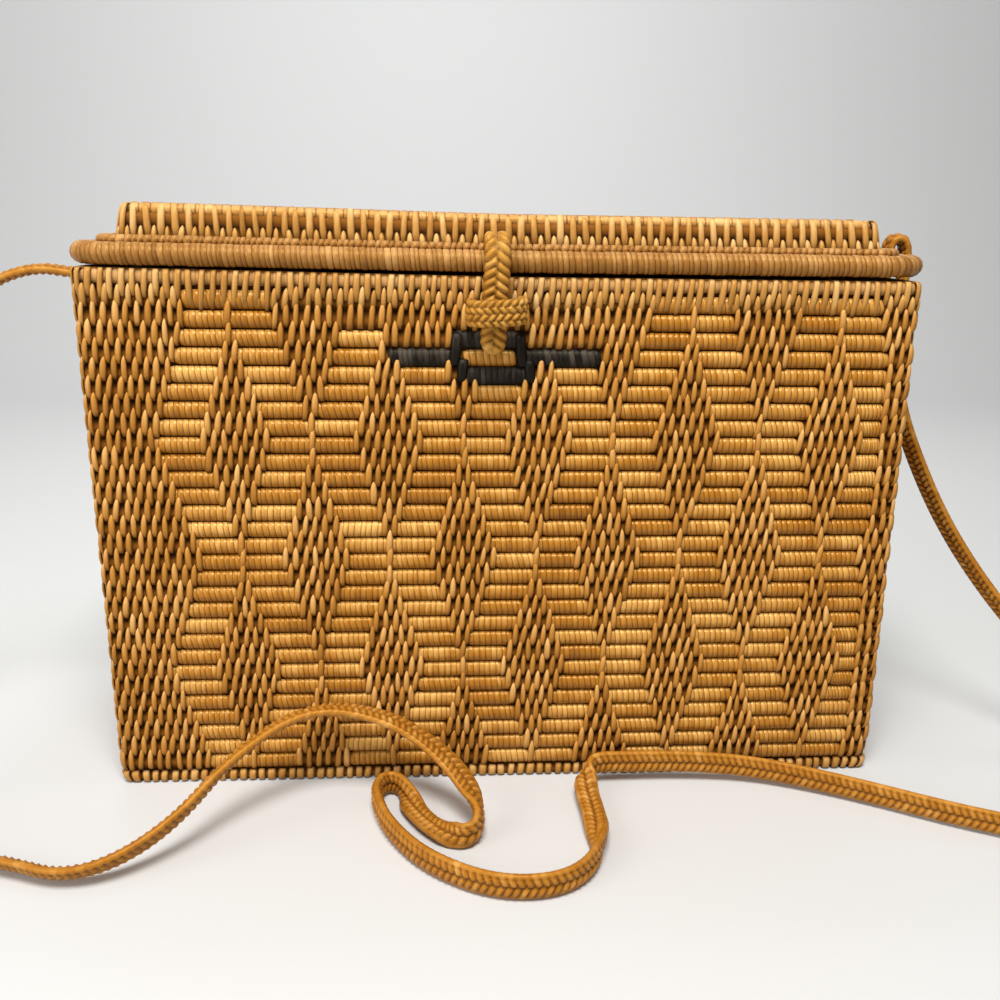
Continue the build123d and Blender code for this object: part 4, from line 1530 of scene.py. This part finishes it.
@dataclass
class ShoulderStrap:
    """The long flat braid from the left wall, over the table and up to the right wall."""

    width: float = 7.4
    thickness: float = 2.5
    pitch: float = 2.3
    step: float = 0.45
    turn_span: int = 41
    knot_cord: float = 1.9
    knot_ripples: int = 30

    def route(self) -> list[tuple[float, float, float, Lie]]:
        """The route's points in millimetres, each with how the strap lies there.

        Returns:
            X, y, z and the lie of each control point.
        """
        wall, flat, edge, tilted, leaning = Lie.WALL, Lie.FLAT, Lie.EDGE, Lie.TILTED, Lie.LEANING
        return [
            (-122.8, 0, 163.4, wall), (-137, 0, 164.4, wall), (-158.4, -2, 167.7, wall),
            (-184.3, -8, 150.5, wall), (-204.8, -20, 112, wall), (-210.1, -42, 61.5, leaning),
            (-197.4, -71, 15, leaning), (-171.4, -86, 4.6, leaning), (-147.6, -92, 4.2, leaning),
            (-124, -101.5, 3.8, leaning),
            (-101.5, -89.5, 10, leaning), (-83.4, -67, 25, tilted), (-62, -52, 32, tilted),
            (-38, -53, 28.3, flat), (-21.2, -60, 19.5, flat), (-11, -70.4, 11, flat),
            (-8.6, -81, 5.6, edge), (-14, -86.6, 4.4, edge), (-23, -78.5, 2.6, flat), (-30, -66, 2.4, flat),
            (-33, -55.2, 4.2, edge), (-37.4, -52.4, 4.5, edge), (-41.4, -55.8, 4.6, edge),
            (-41.6, -64.6, 4.6, edge), (-36.6, -81, 4.5, edge), (-24.6, -99, 4.5, edge),
            (-5, -111.5, 4.5, edge), (14.8, -110, 4.5, edge), (26, -96.2, 4.4, edge), (27.6, -75, 3.0, flat),
            (26.6, -56, 4.4, flat), (29.5, -48.4, 7.6, edge), (42.6, -48.2, 7.4, edge),
            (62.6, -48.2, 7.2, edge), (86.5, -50.5, 6, edge), (114.5, -63, 4.8, edge),
            (146.3, -83.5, 4.8, edge), (178.2, -97.7, 5, edge), (203.3, -85, 8, edge),
            (208.2, -58, 22.4, edge),
            (191.5, -23, 39.4, leaning), (167.5, -5, 73.6, leaning), (148.6, 0, 111.4, leaning),
            (142.6, 0.3, 131.5, leaning), (141.4, 0.5, 151, wall), (141.6, 0.3, 168.5, wall),
            (140.8, 0, 180.2, wall), (135.2, 0.3, 180.2, wall), (134.8, 0, 172, wall),
            (134.6, 0, 163.4, wall), (122.8, 0, 163.4, wall),
        ]

    def line(self, points: np.ndarray) -> np.ndarray:
        """The route's smooth line, read from a NURBS spline that has the points as its controls.

        Args:
            points: the route's points.
        Returns:
            Evenly spaced points on the spline.
        """
        curve = bpy.data.curves.new("strap_route", "CURVE")
        curve.dimensions = "3D"
        spline = curve.splines.new("NURBS")
        spline.points.add(len(points) - 1)
        spline.points.foreach_set("co", np.column_stack((points * MM, np.ones(len(points)))).ravel())
        spline.order_u = 3
        spline.use_endpoint_u = True
        spline.resolution_u = 24
        holder = bpy.data.objects.new("strap_route", curve)
        mesh = bpy.data.meshes.new_from_object(holder)
        flat = np.zeros(3 * len(mesh.vertices), dtype=np.float32)
        mesh.vertices.foreach_get("co", flat)
        bpy.data.meshes.remove(mesh)
        bpy.data.objects.remove(holder)
        bpy.data.curves.remove(curve)
        return evenly(flat.reshape(-1, 3).astype(float) / MM, self.step)

    def widths(self, points: np.ndarray, lies: list[Lie], line: np.ndarray) -> np.ndarray:
        """Direction of the strap's width along the line, turned slowly from one lie to the next.

        Args:
            points: the route's points.
            lies: how the strap lies at each of them.
            line: the line that the strap follows.
        Returns:
            One direction for each point of the line.
        """
        heading = np.gradient(points, axis=0)
        level = unit(np.column_stack((heading[:, 1], -heading[:, 0], np.zeros(len(points)))))
        given = np.array([lie.value for lie in lies])
        wanted = np.where(np.any(given, axis=1, keepdims=True), given, level)
        turned = np.sum(wanted[1:] * wanted[:-1], axis=1) < -1e-6
        wanted[1:] *= np.where(np.cumsum(turned) % 2 == 1, -1, 1)[:, None]
        runs = np.linalg.norm(np.diff(points, axis=0), axis=1)
        reached = np.concatenate(([0], np.cumsum(runs))) / runs.sum()
        nearest = np.linspace(0, 1, len(line))
        blended = between(nearest, reached, wanted)
        half_span = self.turn_span // 2
        padded = np.pad(blended, ((half_span, half_span), (0, 0)), mode="edge")
        kernel = np.hanning(self.turn_span + 2)[1:-1]
        smooth = [np.convolve(padded[:, axis], kernel / kernel.sum(), mode="valid") for axis in range(3)]
        return np.stack(smooth, axis=-1)

    def dress(self, dresser: Dresser) -> None:
        """Args:
            dresser: what writes the pieces.
        """
        route = self.route()
        points = np.array([point[:3] for point in route], dtype=float)
        line = self.line(points)
        wide = self.widths(points, [point[3] for point in route], line)
        braid = Braid(
            self.width, self.thickness, self.pitch, columns=2, lump=1.3, ring=28, slant=0.6, piping=0.2,
            seam_floor=0.2,
        )
        plait = braid.surface(line, wide, seed=71)
        strap = dresser.piece("strap_plait", plait, STRAP_BRAID, "box", ("shoulder_strap",))
        knots = [self.knot(dresser, side) for side in ("left", "right")]

    def knot(self, dresser: Dresser, side: str) -> bpy.types.Object:
        """One knotted end: a round cord on the line of a three-lobed knot, fitted to the node's box.

        Args:
            dresser: what writes the pieces.
            side: left or right.
        Returns:
            The knot.
        """
        node = f"strap_knot_{side}"
        low, high = node_box(node)
        turn = np.linspace(0, 2 * np.pi, 90, endpoint=False)
        lobe_y = np.sin(turn) + 2 * np.sin(2 * turn)
        lobe_z = np.cos(turn) - 2 * np.cos(2 * turn)
        lobes = np.stack((-np.sin(3 * turn), lobe_y, lobe_z), axis=-1)
        room = (high - low) / 2 - self.knot_cord
        line = (low + high) / 2 + lobes / np.abs(lobes).max(axis=0) * np.maximum(room, 0.5)
        forward = unit(np.roll(line, -1, axis=0) - np.roll(line, 1, axis=0))
        side_way = unit(np.cross(forward, AXIS_X + 0.3 * AXIS_Z))
        over = np.cross(forward, side_way)
        angle = np.linspace(0, 2 * np.pi, 10, endpoint=False)
        wave = np.abs(np.sin(self.knot_ripples * turn))[:, None]
        ripple = 1 + 0.1 * wave
        ring = np.cos(angle)[:, None] * side_way[:, None] + np.sin(angle)[:, None] * over[:, None]
        made = line[:, None] + self.knot_cord * ripple[..., None] * ring
        # Painted shade in the dips between the ripples.
        surface = Surface.marked(made, tube_quads(len(turn), len(angle), looped=True), 0.5, 1 - wave)
        return dresser.piece(f"end_knot_{side}", surface, STRAP_BRAID, "box", (node,))


@dataclass
class Studio:
    """The plain floor, the soft lights and the camera at the photograph's place."""

    camera_place: tuple[float, float, float] = (-24.43, -362.15, 184.77)
    yaw: float = 4.04
    pitch: float = 15.16
    roll: float = 0.92
    lens: float = 37.44
    floor_half: float = 3000.0
    backdrop_y: float = 700.0
    backdrop_round: float = 500.0

    def build(self) -> None:
        """Make the floor, the lights, the world and the camera."""
        self.floor()
        self.lights()
        self.camera()

    def floor(self) -> None:
        """A pale sheet that lies flat and then curves up far behind the object."""
        turn = np.linspace(0, np.pi / 2, 16)
        bend_y = self.backdrop_y + self.backdrop_round * np.sin(turn)
        bend_z = self.backdrop_round * (1 - np.cos(turn))
        y = np.concatenate(((-self.floor_half,), bend_y, (bend_y[-1],)))
        z = np.concatenate(((0.0,), bend_z, (self.floor_half,)))
        x = np.linspace(-self.floor_half, self.floor_half, 3)
        points = np.zeros((len(y), len(x), 3))
        points[..., 0] = x
        points[..., 1] = y[:, None]
        points[..., 2] = z[:, None]
        row, column = np.meshgrid(np.arange(len(y) - 1), np.arange(len(x) - 1), indexing="ij")
        first = row * len(x) + column
        quads = np.stack((first, first + 1, first + len(x) + 1, first + len(x)), axis=-1).reshape(-1, 4)
        mesh = bpy.data.meshes.new("studio_floor")
        mesh.from_pydata((points.reshape(-1, 3) * MM).tolist(), [], quads.tolist())
        mesh.polygons.foreach_set("use_smooth", np.ones(len(quads), dtype=bool))
        pale = bpy.data.materials.new("pale_floor")
        pale.use_nodes = True
        shader = pale.node_tree.nodes["Principled BSDF"]
        shader.inputs["Base Color"].default_value = (0.63, 0.645, 0.65, 1)
        shader.inputs["Roughness"].default_value = 0.6
        mesh.materials.append(pale)
        sheet = bpy.data.objects.new("studio_floor", mesh)
        bpy.context.scene.collection.objects.link(sheet)

    def lights(self) -> None:
        """A broad key above the front, a weak fill at the left, a lamp for the backdrop and a pale world."""
        world = bpy.data.worlds.new("studio")
        bpy.context.scene.world = world
        world.use_nodes = True
        back = world.node_tree.nodes["Background"]
        back.inputs["Color"].default_value = (1.0, 0.98, 0.95, 1)
        back.inputs["Strength"].default_value = 0.3
        self.lamp("key", (-40, -470, 950), (0, 0, 90), 380, 11.5, (1.0, 0.97, 0.93))
        self.lamp("fill", (-800, -600, 400), (0, 0, 90), 700, 5.0, (1.0, 0.98, 0.96))
        self.lamp("backdrop", (0, 350, 900), (0, 1150, 350), 700, 5.0, (1.0, 1.0, 1.0))

    def lamp(
        self, name: str, place: tuple[float, ...], aim: tuple[float, ...], size: float, power: float,
        colour: tuple[float, float, float],
    ) -> None:
        """A square area lamp that looks at a point.

        Args:
            name: the lamp's name.
            place: where it stands.
            aim: the point that it looks at.
            size: its side.
            power: its power in watts.
            colour: its colour.
        """
        data = bpy.data.lights.new(name, "AREA")
        data.size = size * MM
        data.energy = power
        data.color = colour
        lamp = bpy.data.objects.new(name, data)
        back = unit(np.array(place, dtype=float) - np.array(aim, dtype=float))
        right = unit(np.cross(AXIS_Z, back))
        lamp.matrix_world = placed(right, np.cross(back, right), back, place)
        bpy.context.scene.collection.objects.link(lamp)

    def camera(self) -> None:
        """The camera at the photograph's place, turned by its yaw, pitch and roll."""
        yaw, pitch, roll = np.radians((self.yaw, self.pitch, self.roll))
        ahead = np.array((np.sin(yaw) * np.cos(pitch), np.cos(yaw) * np.cos(pitch), -np.sin(pitch)))
        level = np.array((np.cos(yaw), -np.sin(yaw), 0.0))
        upright = np.cross(level, ahead)
        right = np.cos(roll) * level + np.sin(roll) * upright
        up = -np.sin(roll) * level + np.cos(roll) * upright
        data = bpy.data.cameras.new("camera")
        data.lens = self.lens
        data.sensor_width = 36.0
        data.clip_start = 0.01
        made = bpy.data.objects.new("camera", data)
        made.matrix_world = placed(right, up, -ahead, self.camera_place)
        bpy.context.scene.collection.objects.link(made)
        bpy.context.scene.camera = made


def main() -> None:
    """Build every sub-assembly in order, then the studio."""
    logging.basicConfig(level=logging.INFO, format="%(message)s")
    bpy.context.scene.view_settings.view_transform = "Standard"
    dresser = Dresser()
    box = WovenBox()
    figure = DarkFigure(box)
    box.dress(dresser, figure.reaches())
    figure.dress(dresser)
    Lid().dress(dresser)
    Closure().dress(dresser)
    HingeLashings().dress(dresser)
    ShoulderStrap().dress(dresser)
    Studio().build()


if __name__ == "__main__":
    main()
